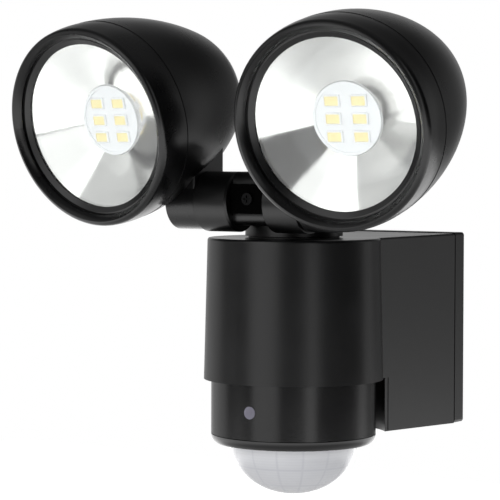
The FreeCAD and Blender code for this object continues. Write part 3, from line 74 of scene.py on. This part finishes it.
def dress(material, *names):
    """Give CAD nodes a material."""
    for name in names:
        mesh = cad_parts[name].data
        mesh.materials.clear()
        mesh.materials.append(material)


def moulded_black(name, dark, light, roughness, grain):
    """Black moulded plastic: a spark-eroded grain of the size given in metres, and an uneven gloss."""
    material, shader, place = new_material(name)
    grit = add_node(material, "TexNoise", {"Scale": 1 / grain, "Detail": 3.0}, {"Vector": place})
    cloud = add_node(material, "TexNoise", {"Scale": 45.0, "Detail": 5.0}, {"Vector": place})
    tone = add_node(material, "MixRGB", {1: linear(dark), 2: linear(light)}, {0: cloud.outputs["Fac"]})
    gloss = add_node(material, "MapRange", {"To Min": roughness - 0.05, "To Max": roughness + 0.06},
                     {"Value": cloud.outputs["Fac"]})
    relief = add_node(material, "Bump", {"Strength": 0.35, "Distance": grain / 12},
                      {"Height": grit.outputs["Fac"]})
    material.node_tree.links.new(tone.outputs[0], shader.inputs["Base Color"])
    material.node_tree.links.new(gloss.outputs[0], shader.inputs["Roughness"])
    material.node_tree.links.new(relief.outputs[0], shader.inputs["Normal"])
    shader.inputs["IOR"].default_value = 1.5
    return material


# grained ABS: a soft, slightly cloudy sheen with no sharp reflections; its grain is drawn 0.7 mm wide to show
dress(moulded_black("grained_abs_plate", "#040404", "#080809", 0.36, 0.0007), "wall_plate")

# EPDM rubber: matt, a little greyer than the plastic, with fine talc on it
rubber, shader, place = new_material("epdm_rubber")
talc = add_node(rubber, "TexNoise", {"Scale": 900.0, "Detail": 6.0}, {"Vector": place})
tone = add_node(rubber, "MixRGB", {1: linear("#101011"), 2: linear("#232324")}, {0: talc.outputs["Fac"]})
relief = add_node(rubber, "Bump", {"Strength": 0.3, "Distance": 0.00005}, {"Height": talc.outputs["Fac"]})
rubber.node_tree.links.new(tone.outputs[0], shader.inputs["Base Color"])
rubber.node_tree.links.new(relief.outputs[0], shader.inputs["Normal"])
shader.inputs["Roughness"].default_value = 0.8
dress(rubber, "wall_gasket", "cable_grommet", "head_seal_left", "head_seal_right")

# ---------------------------------------------------------------- housing and its screws
# The housing is one ABS moulding: a drafted round front with a box behind it that reaches the wall.
# Two zinc-plated cross-head screws go up through the box into the wall plate.

# grained ABS from a slightly smoother mould than the plate's, so it shows upright streaks of the lamps
dress(moulded_black("grained_abs", "#040404", "#08080a", 0.31, 0.0008), "housing")

# zinc plate: a bright bluish grey with faint drawing lines along the shank
zinc, shader, place = new_material("zinc_plate")
squash = add_node(zinc, "Mapping", {"Scale": (1.0, 1.0, 0.1)}, {"Vector": place})
lines = add_node(zinc, "TexNoise", {"Scale": 2500.0, "Detail": 4.0}, {"Vector": squash.outputs[0]})
tone = add_node(zinc, "MixRGB", {1: linear("#9a9da1"), 2: linear("#c6c9cc")}, {0: lines.outputs["Fac"]})
gloss = add_node(zinc, "MapRange", {"To Min": 0.25, "To Max": 0.45}, {"Value": lines.outputs["Fac"]})
zinc.node_tree.links.new(tone.outputs[0], shader.inputs["Base Color"])
zinc.node_tree.links.new(gloss.outputs[0], shader.inputs["Roughness"])
shader.inputs["Metallic"].default_value = 1.0
dress(zinc, "housing_screws", "terminal_screws", "pivot_tube_left", "pivot_tube_right",
      "pivot_nuts_left", "pivot_nuts_right", "head_screws_left", "head_screws_right")

# ---------------------------------------------------------------- electronics in the housing
# Glass-fibre boards with green solder mask carry a taped transformer, an electrolytic capacitor,
# a relay and two potentiometers; the mains wires end in a white polyamide terminal block.

# solder mask over woven glass: the weave shows as a faint grid of 0.5 mm threads
board, shader, place = new_material("green_solder_mask")
warp = add_node(board, "TexWave", {"Scale": 620.0, "Distortion": 0.4, "bands_direction": "X"},
                {"Vector": place})
weft = add_node(board, "TexWave", {"Scale": 620.0, "Distortion": 0.4, "bands_direction": "Z"},
                {"Vector": place})
weave = add_node(board, "MixRGB", {0: 0.5, "blend_type": "MULTIPLY"},
                 {1: warp.outputs["Color"], 2: weft.outputs["Color"]})
tone = add_node(board, "MixRGB", {1: linear("#0f4d26"), 2: linear("#1c7a3e")}, {0: weave.outputs[0]})
relief = add_node(board, "Bump", {"Strength": 0.2, "Distance": 0.00003}, {"Height": weave.outputs[0]})
board.node_tree.links.new(tone.outputs[0], shader.inputs["Base Color"])
board.node_tree.links.new(relief.outputs[0], shader.inputs["Normal"])
shader.inputs["Roughness"].default_value = 0.3
dress(board, "driver_board", "control_board", "sensor_board")

# polyester tape round the windings: yellow and glossy, wrapped in level turns about 2 mm high
tape, shader, place = new_material("transformer_tape")
turns = add_node(tape, "TexWave", {"Scale": 160.0, "Distortion": 0.6, "bands_direction": "Z"},
                 {"Vector": place})
tone = add_node(tape, "MixRGB", {1: linear("#a8821e"), 2: linear("#d8b23c")}, {0: turns.outputs["Fac"]})
tape.node_tree.links.new(tone.outputs[0], shader.inputs["Base Color"])
shader.inputs["Roughness"].default_value = 0.28
dress(tape, "transformer")


def moulded_plain(name, dark, light, roughness):
    """Smooth moulded plastic with faint flow marks about 2 mm wide."""
    material, shader, place = new_material(name)
    flow = add_node(material, "TexNoise", {"Scale": 480.0, "Detail": 3.0, "Distortion": 1.2},
                    {"Vector": place})
    tone = add_node(material, "MixRGB", {1: linear(dark), 2: linear(light)}, {0: flow.outputs["Fac"]})
    relief = add_node(material, "Bump", {"Strength": 0.08, "Distance": 0.00004},
                      {"Height": flow.outputs["Fac"]})
    material.node_tree.links.new(tone.outputs[0], shader.inputs["Base Color"])
    material.node_tree.links.new(relief.outputs[0], shader.inputs["Normal"])
    shader.inputs["Roughness"].default_value = roughness
    return material


# plain mouldings and a shrunk sleeve: even colours with a soft gloss, and the nylon a little yellowed
dress(moulded_plain("capacitor_sleeve", "#101a30", "#182443", 0.25), "capacitor")
dress(moulded_plain("relay_case", "#12407a", "#1b5596", 0.3), "relay")
dress(moulded_plain("potentiometer_body", "#17254a", "#22356b", 0.4), "control_pots")
dress(moulded_plain("white_polyamide", "#cfcec8", "#e2e1dc", 0.4), "terminal_block")
dress(moulded_plain("natural_nylon", "#b9b5a8", "#d4d1c6", 0.45), "sensor_nut", "hub_nut", "dome_clamp",
      "board_spacer", "pivot_washer_left", "pivot_washer_right")

# ---------------------------------------------------------------- setting knobs
# Two small slotted ABS knobs under the box, sunk in wells, turn the time and dusk potentiometers.
# They are moulded in a slightly greyer black than the box, with a fine grain of half a millimetre.

dress(moulded_black("knob_abs", "#1a1a1c", "#242426", 0.35, 0.0005), "time_knob", "lux_knob")

# ---------------------------------------------------------------- sensor cup
# The turning cup and its rounded closing ring are ABS from a mould that is polished a little more than
# the housing's, so that the cup shows a brighter streak.

dress(moulded_black("sensor_abs", "#040404", "#08080a", 0.22, 0.0008), "sensor_ring", "sensor_bezel")

# ---------------------------------------------------------------- sensor dome
# The dome is pressed from milky polyethylene, 1 mm thick and glossy outside. Its lens fields are pressed
# into the inside in rings, and show through as faint lines and fine level grooves.

dome_axis = -0.098
dome_rim = -0.0474
dome_bend = 0.026
ring_step = math.radians(22)
field_step = math.radians(24)
line_half_width = 0.0009

# milky polyethylene: pale grey, letting a little light in, with a smooth glossy skin
milky, shader, place = new_material("milky_polyethylene")
haze = add_node(milky, "TexNoise", {"Scale": 60.0, "Detail": 4.0}, {"Vector": place})
centred = add_node(milky, "Mapping", {"Location": (0.0, -dome_axis, -dome_rim)}, {"Vector": place})
axes = add_node(milky, "SeparateXYZ", {}, {"Vector": centred.outputs[0]})
reach = add_node(milky, "Math", {"operation": "MULTIPLY"}, {0: axes.outputs["X"], 1: axes.outputs["X"]})
reach = add_node(milky, "Math", {"operation": "MULTIPLY_ADD"},
                 {0: axes.outputs["Y"], 1: axes.outputs["Y"], 2: reach.outputs[0]})
reach = add_node(milky, "Math", {"operation": "SQRT"}, {0: reach.outputs[0]})
# how far a point lies from the next line between two rings of fields, and between two fields of a ring
lean = add_node(milky, "Math", {"operation": "ARCTAN2"}, {0: reach.outputs[0], 1: axes.outputs["Z"]})
ring = add_node(milky, "Math", {"operation": "PINGPONG", 1: ring_step / 2}, {0: lean.outputs[0]})
along = add_node(milky, "Math", {"operation": "MULTIPLY", 1: dome_bend}, {0: ring.outputs[0]})
around = add_node(milky, "Math", {"operation": "ARCTAN2"}, {0: axes.outputs["Y"], 1: axes.outputs["X"]})
field = add_node(milky, "Math", {"operation": "PINGPONG", 1: field_step / 2}, {0: around.outputs[0]})
across = add_node(milky, "Math", {"operation": "MULTIPLY"}, {0: field.outputs[0], 1: reach.outputs[0]})
nearest = add_node(milky, "Math", {"operation": "MINIMUM"}, {0: along.outputs[0], 1: across.outputs[0]})
line = add_node(milky, "MapRange", {"From Min": 0.0, "From Max": line_half_width, "To Min": 1.0,
                                    "To Max": 0.0, "interpolation_type": "SMOOTHSTEP"},
                {"Value": nearest.outputs[0]})
tone = add_node(milky, "MixRGB", {1: linear("#d2d3d8"), 2: linear("#dfe0e4")}, {0: haze.outputs["Fac"]})
faint = add_node(milky, "MixRGB", {2: linear("#d0d1d7")}, {0: line.outputs[0], 1: tone.outputs[0]})
# the grooves of the lenses: level bands, drawn 1.3 mm high so that they show
grooves = add_node(milky, "TexWave", {"Scale": 245.0, "Distortion": 0.3, "bands_direction": "Z"},
                   {"Vector": place})
shade = add_node(milky, "MapRange", {"To Min": 0.0, "To Max": 0.12}, {"Value": grooves.outputs["Fac"]})
banded = add_node(milky, "MixRGB", {2: linear("#bfc0c6")}, {0: shade.outputs[0], 1: faint.outputs[0]})
milky.node_tree.links.new(banded.outputs[0], shader.inputs["Base Color"])
shader.inputs["Roughness"].default_value = 0.12
shader.inputs["Coat Weight"].default_value = 1.0
shader.inputs["Coat Roughness"].default_value = 0.04
shader.inputs["Subsurface Weight"].default_value = 0.3
shader.inputs["Subsurface Radius"].default_value = (0.002, 0.002, 0.002)
shader.inputs["Subsurface Scale"].default_value = 1.0
dress(milky, "fresnel_dome")

# ---------------------------------------------------------------- heat sensor and photocell
# The heat sensor is a drawn, nickel-plated can on the sensor board. The photocell is a ceramic disc with
# a light-sensitive track, and looks out of the cup through a round smoky polycarbonate window.

# nickel plate: a warm grey metal with a fine, uneven gloss
can, shader, place = new_material("nickel_can")
spun = add_node(can, "TexNoise", {"Scale": 1800.0, "Detail": 3.0}, {"Vector": place})
gloss = add_node(can, "MapRange", {"To Min": 0.2, "To Max": 0.38}, {"Value": spun.outputs["Fac"]})
tone = add_node(can, "MixRGB", {1: linear("#b5ab98"), 2: linear("#cfc6b4")}, {0: spun.outputs["Fac"]})
can.node_tree.links.new(tone.outputs[0], shader.inputs["Base Color"])
can.node_tree.links.new(gloss.outputs[0], shader.inputs["Roughness"])
shader.inputs["Metallic"].default_value = 1.0
dress(can, "pyro_sensor")

# cadmium sulphide track on white ceramic: a winding orange-brown line about 0.5 mm wide
cell, shader, place = new_material("cadmium_sulphide_track")
track = add_node(cell, "TexWave", {"Scale": 320.0, "Distortion": 3.0, "Detail": 0.0,
                                   "bands_direction": "Z"}, {"Vector": place})
edge = add_node(cell, "MapRange", {"From Min": 0.4, "From Max": 0.6}, {"Value": track.outputs["Fac"]})
tone = add_node(cell, "MixRGB", {1: linear("#8a4a3c"), 2: linear("#d8d4d8")}, {0: edge.outputs[0]})
cell.node_tree.links.new(tone.outputs[0], shader.inputs["Base Color"])
shader.inputs["Roughness"].default_value = 0.5
dress(cell, "photocell")

# smoky polycarbonate: a lavender grey that lets part of the light through
smoky = moulded_plain("smoky_polycarbonate", "#b3b0c2", "#c9c6d8", 0.08)
smoky.node_tree.nodes["Principled BSDF"].inputs["Transmission Weight"].default_value = 0.6
dress(smoky, "photocell_window")

# ---------------------------------------------------------------- hub, washer and cover
# The swivelling foot and its arm are one ABS moulding, which turns on a washer of black acetal.
# A small cover held by one screw closes the arm's front, between the collars of the two heads.

dress(moulded_black("bracket_abs", "#030303", "#070708", 0.33, 0.0008), "hub")
dress(moulded_black("black_acetal", "#030303", "#060607", 0.5, 0.0006), "hub_washer")

# the cover is an unpolished moulding drawn near black with its reflection almost taken away: painted shade of
# the deep recess between the collars
cover_painted_shade = moulded_black("matt_cover_painted_shade", "#000000", "#010101", 0.75, 0.0008)
# near-black colour and a specular level of 0.03: painted shade, where the heads shadow the recess
cover_painted_shade.node_tree.nodes["Principled BSDF"].inputs["Specular IOR Level"].default_value = 0.03
dress(cover_painted_shade, "bracket_cover")
# the screw is darkened and its reflection weakened as painted shade of the recess, leaving only a small glint
screw_painted_shade = moulded_black("darkened_steel_painted_shade", "#030303", "#08080a", 0.3, 0.0005)
screw_painted_shade.node_tree.nodes["Principled BSDF"].inputs["Specular IOR Level"].default_value = 0.2
dress(screw_painted_shade, "cover_screw")

# ---------------------------------------------------------------- head shells and bezels
# Each head is an egg-shaped ABS shell, closed by a round ABS bezel that three screws draw on from behind.

dress(moulded_black("head_abs", "#030304", "#070708", 0.28, 0.0009), "head_shell_left", "head_shell_right",
      "bezel_left", "bezel_right")

# ---------------------------------------------------------------- lenses
# A flat disc of toughened glass, 2.2 mm thick, lies in each bezel on a rubber seal.

# soda-lime glass: clear, with a faint green edge and hardly visible smears
glass, shader, place = new_material("clear_glass")
smear = add_node(glass, "TexNoise", {"Scale": 80.0, "Detail": 3.0}, {"Vector": place})
gloss = add_node(glass, "MapRange", {"To Min": 0.0, "To Max": 0.03}, {"Value": smear.outputs["Fac"]})
glass.node_tree.links.new(gloss.outputs[0], shader.inputs["Roughness"])
shader.inputs["Base Color"].default_value = linear("#fbfdfc")
shader.inputs["Transmission Weight"].default_value = 1.0
shader.inputs["IOR"].default_value = 1.5
dress(glass, "lens_left", "lens_right")

# ---------------------------------------------------------------- reflectors
# The cone round the LED board is a plastic moulding, metallised in a vacuum.

# aluminium evaporated onto polished plastic: nearly a mirror, with faint ripples 14 mm wide
mirror, shader, place = new_material("evaporated_aluminium")
ripple = add_node(mirror, "TexNoise", {"Scale": 70.0, "Detail": 2.0}, {"Vector": place})
gloss = add_node(mirror, "MapRange", {"To Min": 0.06, "To Max": 0.14}, {"Value": ripple.outputs["Fac"]})
relief = add_node(mirror, "Bump", {"Strength": 0.15, "Distance": 0.0004}, {"Height": ripple.outputs["Fac"]})
mirror.node_tree.links.new(gloss.outputs[0], shader.inputs["Roughness"])
mirror.node_tree.links.new(relief.outputs[0], shader.inputs["Normal"])
shader.inputs["Base Color"].default_value = linear("#eeedec")
shader.inputs["Metallic"].default_value = 1.0
dress(mirror, "reflector_left", "reflector_right")

# ---------------------------------------------------------------- LED boards
# An aluminium disc with white solder mask and a raised rim stands in the middle of each cone.

# white solder mask: a bright, faintly bluish white with a soft gloss
dress(moulded_plain("white_solder_mask", "#f1f2f6", "#f8f9fb", 0.3), "led_board_left", "led_board_right",
      "led_rim_left", "led_rim_right")

# ---------------------------------------------------------------- LED packages
# Six packages are soldered to each board, in two columns of three. Each is a white plastic housing with
# a yellow window of phosphor in silicone, sunk a little below its rim.

package_size = (0.0074, 0.0051, 0.0009)
package_bevel = 0.00018
window_margin = 0.0006
window_sink = 0.00015
column_half_pitch = 0.0062
row_pitch = 0.00765
package_depth = -0.01315
head_tilt = math.radians(90 + 13.2)
head_frames = {"right": ((0.0634, -0.1656, 0.0946), math.radians(6.2)),
               "left": ((-0.0634, -0.1642, 0.0946), math.radians(-3.9))}

# heat-proof polyamide: a clean white; phosphor in silicone: a pale, slightly mottled yellow
package_white = moulded_plain("led_package_white", "#f2f2f4", "#fafafb", 0.3)
phosphor = moulded_plain("phosphor", "#fdeaa2", "#fff4c0", 0.35)
bpy.ops.object.select_all(action="DESELECT")
bpy.ops.mesh.primitive_cube_add(size=1)
package = bpy.context.object
package.scale = package_size
bpy.ops.object.transform_apply(location=False, rotation=False, scale=True)
package.data.materials.append(package_white)
package.data.materials.append(phosphor)
bpy.ops.object.mode_set(mode="EDIT")
bpy.ops.mesh.select_mode(type="FACE")
bpy.ops.mesh.select_all(action="SELECT")
bpy.ops.mesh.bevel(offset=package_bevel, segments=2)
bpy.ops.object.mode_set(mode="OBJECT")
for polygon in package.data.polygons:
    polygon.select = polygon.normal.z > 0.9
bpy.ops.object.mode_set(mode="EDIT")
bpy.ops.mesh.inset(thickness=window_margin)
package.active_material_index = 1
bpy.ops.object.material_slot_assign()
bpy.ops.mesh.inset(thickness=window_sink, depth=-window_sink)
bpy.ops.object.mode_set(mode="OBJECT")

for side, (aperture, toe) in head_frames.items():
    bpy.ops.object.select_all(action="DESELECT")
    for column, row in ((-1, -1), (1, -1), (-1, 0), (1, 0), (-1, 1), (1, 1)):
        copy = package.copy()
        copy.data = package.data.copy()
        copy.location = (column * column_half_pitch, row * row_pitch, package_depth)
        bpy.context.collection.objects.link(copy)
        copy.select_set(True)
    bpy.context.view_layer.objects.active = copy
    bpy.ops.object.transform_apply(location=True, rotation=False, scale=False)
    bpy.ops.object.join()
    chips = bpy.context.object
    chips.name = "led_packages_" + side
    chips.matrix_world = (Matrix.Translation(aperture) @ Matrix.Rotation(toe, 4, "Z")
                          @ Matrix.Rotation(head_tilt, 4, "X"))
    bpy.ops.object.transform_apply(location=True, rotation=True, scale=True)
    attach(chips, "head_" + side)
    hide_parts("led_chips_" + side)
bpy.data.objects.remove(package)

# ---------------------------------------------------------------- heat sinks
# A finned casting behind each LED board carries its heat into the shell.

# die-cast aluminium: a dull grey skin with a sandy grain of half a millimetre
cast, shader, place = new_material("die_cast_aluminium")
sand = add_node(cast, "TexNoise", {"Scale": 2000.0, "Detail": 5.0}, {"Vector": place})
tone = add_node(cast, "MixRGB", {1: linear("#9b9da0"), 2: linear("#bfc1c3")}, {0: sand.outputs["Fac"]})
relief = add_node(cast, "Bump", {"Strength": 0.4, "Distance": 0.00008}, {"Height": sand.outputs["Fac"]})
cast.node_tree.links.new(tone.outputs[0], shader.inputs["Base Color"])
cast.node_tree.links.new(relief.outputs[0], shader.inputs["Normal"])
shader.inputs["Metallic"].default_value = 1.0
shader.inputs["Roughness"].default_value = 0.5
dress(cast, "heat_sink_left", "heat_sink_right")

# ---------------------------------------------------------------- floor
# A sheet of matt white paper lies well below the light, which hangs in the air as on its wall.
# Mirrors and lenses see the paper glow brighter further out: painted light, an emission that only reflected
# and refracted rays see.

floor_size = 3
floor_level = -0.32

bpy.ops.object.select_all(action="DESELECT")
bpy.ops.mesh.primitive_grid_add(x_subdivisions=8, y_subdivisions=8, size=floor_size,
                                location=(0, 0, floor_level))
floor = bpy.context.object
floor.name = "floor"
paper, shader, place = new_material("white_paper")
fibre = add_node(paper, "TexNoise", {"Scale": 40.0, "Detail": 4.0}, {"Vector": place})
tone = add_node(paper, "MixRGB", {1: linear("#f2f2f2"), 2: linear("#f7f7f7")}, {0: fibre.outputs["Fac"]})
seen = add_node(paper, "LightPath", {}, {})
sought = add_node(paper, "Math", {"operation": "MAXIMUM"},
                  {0: seen.outputs["Is Glossy Ray"], 1: seen.outputs["Is Transmission Ray"]})
away = add_node(paper, "VectorMath", {"operation": "LENGTH"}, {0: place})
# painted light: the paper glows for reflected and refracted rays, more the further it lies from the point
# below the light
painted_glow_reach = add_node(paper, "MapRange", {"From Min": 0.3, "From Max": 0.65, "To Min": 0.0, "To Max": 1.1,
                                      "interpolation_type": "SMOOTHSTEP"}, {"Value": away.outputs["Value"]})
painted_far_glow = add_node(paper, "Math", {"operation": "MULTIPLY"}, {0: sought.outputs[0], 1: painted_glow_reach.outputs[0]})
glow = add_node(paper, "Math", {1: 0.6, "operation": "MULTIPLY_ADD"},
                {0: seen.outputs["Is Camera Ray"], 2: painted_far_glow.outputs[0]})
paper.node_tree.links.new(tone.outputs[0], shader.inputs["Base Color"])
paper.node_tree.links.new(glow.outputs[0], shader.inputs["Emission Strength"])
shader.inputs["Emission Color"].default_value = (1, 1, 1, 1)
shader.inputs["Roughness"].default_value = 0.9
floor.data.materials.append(paper)

# ---------------------------------------------------------------- room and lamps
# A white backdrop stands behind, the room in front is dim, and two upright soft boxes stand to the left
# and the right. Bearings in the room are degrees to the right of the camera, seen from the light.

world = bpy.data.worlds.new("studio")
bpy.context.scene.world = world
world.use_nodes = True
tree = world.node_tree
tree.nodes.clear()
output = tree.nodes.new("ShaderNodeOutputWorld")
background = tree.nodes.new("ShaderNodeBackground")
tree.links.new(background.outputs[0], output.inputs["Surface"])
way = add_node(world, "TexCoord", {}, {}).outputs["Generated"]
azimuth = math.radians(34.242)
to_camera = (math.sin(azimuth), -math.cos(azimuth), 0)
to_right = (math.cos(azimuth), math.sin(azimuth), 0)
ahead = add_node(world, "VectorMath", {"operation": "DOT_PRODUCT", 1: to_camera}, {0: way})
aside = add_node(world, "VectorMath", {"operation": "DOT_PRODUCT", 1: to_right}, {0: way})
bearing = add_node(world, "Math", {"operation": "ARCTAN2"},
                   {0: aside.outputs["Value"], 1: ahead.outputs["Value"]})
share = add_node(world, "MapRange", {"From Min": -math.pi, "From Max": math.pi},
                 {"Value": bearing.outputs[0]})
walls = add_node(world, "ValToRGB", {}, {0: share.outputs[0]})
walls.color_ramp.elements[1].position = 0
for degrees, brightness in ((-180, 0.8), (-138, 0.45), (-115, 0.12), (-60, 0.1), (0, 0.02), (60, 0.0),
                            (98, 0.0), (106, 0.55), (116, 0.55), (125, 0.14), (152, 0.14), (165, 0.5),
                            (179, 0.8)):
    stop = walls.color_ramp.elements.new((degrees + 180) / 360)
    stop.color = (brightness, brightness, brightness, 1)
walls.color_ramp.elements.remove(walls.color_ramp.elements[0])
axes = add_node(world, "SeparateXYZ", {}, {"Vector": way})
low = add_node(world, "MapRange", {"From Min": 0.12, "From Max": 0.55, "To Min": 1.0, "To Max": 0.3,
                                   "interpolation_type": "SMOOTHSTEP"}, {"Value": axes.outputs["Z"]})
band = add_node(world, "Math", {"operation": "MULTIPLY"}, {0: walls.outputs[0], 1: low.outputs[0]})
ceiling = add_node(world, "MapRange", {"From Min": 0.5, "From Max": 0.9, "To Min": 0.0, "To Max": 0.15,
                                       "interpolation_type": "SMOOTHSTEP"}, {"Value": axes.outputs["Z"]})
studio = add_node(world, "Math", {"operation": "MAXIMUM"}, {0: band.outputs[0], 1: ceiling.outputs[0]})
# a large diffuser high on the left, reaching down to a white card at the side, which the cones mirror
for toward, inner, outer, brightness in (((-0.392, -0.748, 0.536), 0.93, 0.87, 0.62),
                                         ((-0.79, -0.50, 0.355), 0.96, 0.92, 0.62),
                                         ((-0.978, 0.026, -0.209), 0.96, 0.92, 0.68)):
    facing = add_node(world, "VectorMath", {"operation": "DOT_PRODUCT", 1: toward}, {0: way})
    patch = add_node(world, "MapRange", {"From Min": outer, "From Max": inner, "To Min": 0.0,
                                         "To Max": brightness, "interpolation_type": "SMOOTHSTEP"},
                     {"Value": facing.outputs["Value"]})
    studio = add_node(world, "Math", {"operation": "MAXIMUM"}, {0: studio.outputs[0], 1: patch.outputs[0]})
# shiny and clear surfaces see this room, matt ones an even light, and those behind a lens a brighter one
open_light = (0.62, 0.62, 0.62, 1)
light_behind_lens = (1.9, 1.9, 1.9, 1)
path = add_node(world, "LightPath", {}, {})
mirrored = add_node(world, "Math", {"operation": "MAXIMUM"},
                    {0: path.outputs["Is Glossy Ray"], 1: path.outputs["Is Transmission Ray"]})
spread = add_node(world, "Math", {"operation": "MINIMUM", 1: 1.0}, {0: path.outputs["Diffuse Depth"]})
within = add_node(world, "Math", {"operation": "MULTIPLY"},
                  {0: spread.outputs[0], 1: path.outputs["Is Transmission Ray"]})
sharp = add_node(world, "Math", {"operation": "SUBTRACT"}, {0: mirrored.outputs[0], 1: within.outputs[0]})
soft = add_node(world, "MixRGB", {1: open_light, 2: light_behind_lens}, {0: within.outputs[0]})
room = add_node(world, "MixRGB", {}, {0: sharp.outputs[0], 1: soft.outputs[0], 2: studio.outputs[0]})
sky = add_node(world, "MixRGB", {2: (1, 1, 1, 1)}, {0: path.outputs["Is Camera Ray"], 1: room.outputs[0]})
tree.links.new(sky.outputs[0], background.inputs["Color"])
background.inputs["Strength"].default_value = 1.0

# the soft boxes: bearing from straight ahead of the light, height, width, how tall, and how bright
lamp_distance = 1.3
lamp_target = Vector((0, -0.1, 0.05))
for name, bearing, height, width, tall, brightness in (("soft_box_left", -6, 0.3, 0.95, 1.2, 1.15),
                                                       ("soft_box_right", 57, 0.2, 0.35, 1.2, 1.1)):
    lamp = bpy.data.lights.new(name, "AREA")
    lamp.shape = "RECTANGLE"
    lamp.size = width
    lamp.size_y = tall
    lamp.energy = brightness * math.pi * width * tall
    soft_box = bpy.data.objects.new(name, lamp)
    bpy.context.collection.objects.link(soft_box)
    angle = math.radians(bearing)
    soft_box.location = (lamp_distance * math.sin(angle), lamp_target.y - lamp_distance * math.cos(angle),
                         height)
    aim = lamp_target - soft_box.location
    soft_box.rotation_euler = aim.to_track_quat("-Z", "Y").to_euler()

# ---------------------------------------------------------------- camera
# Fitted to the photograph: seen from the right of the front, a little from above, with a long lens.
# Lengths in the picture are pixels, and the lens is shifted as the photograph was cut.

pitch = math.radians(1.911)
roll = math.radians(0.171)
focal = 2299.43
distance = 1.036774
picture = 500
middle_across = 247.036
middle_down = 226.449
target_right = 47.003 * distance / focal
target_up = 10.634 * distance / focal
forward = Vector((-math.sin(azimuth) * math.cos(pitch), math.cos(azimuth) * math.cos(pitch),
                  -math.sin(pitch)))
level = Vector((math.cos(azimuth), math.sin(azimuth), 0))
upright = level.cross(forward)
side = level * math.cos(roll) + upright * math.sin(roll)
top = upright * math.cos(roll) - level * math.sin(roll)
look_at = Vector((0, -0.098008, 0.04515))
lens = bpy.data.cameras.new("camera")
lens.sensor_width = 36
lens.lens = focal * lens.sensor_width / picture
lens.shift_x = 0.5 - middle_across / picture
lens.shift_y = middle_down / picture - 0.5
lens.clip_start = 0.05
camera = bpy.data.objects.new("camera", lens)
bpy.context.collection.objects.link(camera)
spot = look_at - forward * distance - side * target_right + top * target_up
frame_axes = Matrix((side, top, -forward)).transposed().to_4x4()
camera.matrix_world = Matrix.Translation(spot) @ frame_axes
bpy.context.scene.camera = camera
bpy.context.scene.view_settings.view_transform = "Standard"
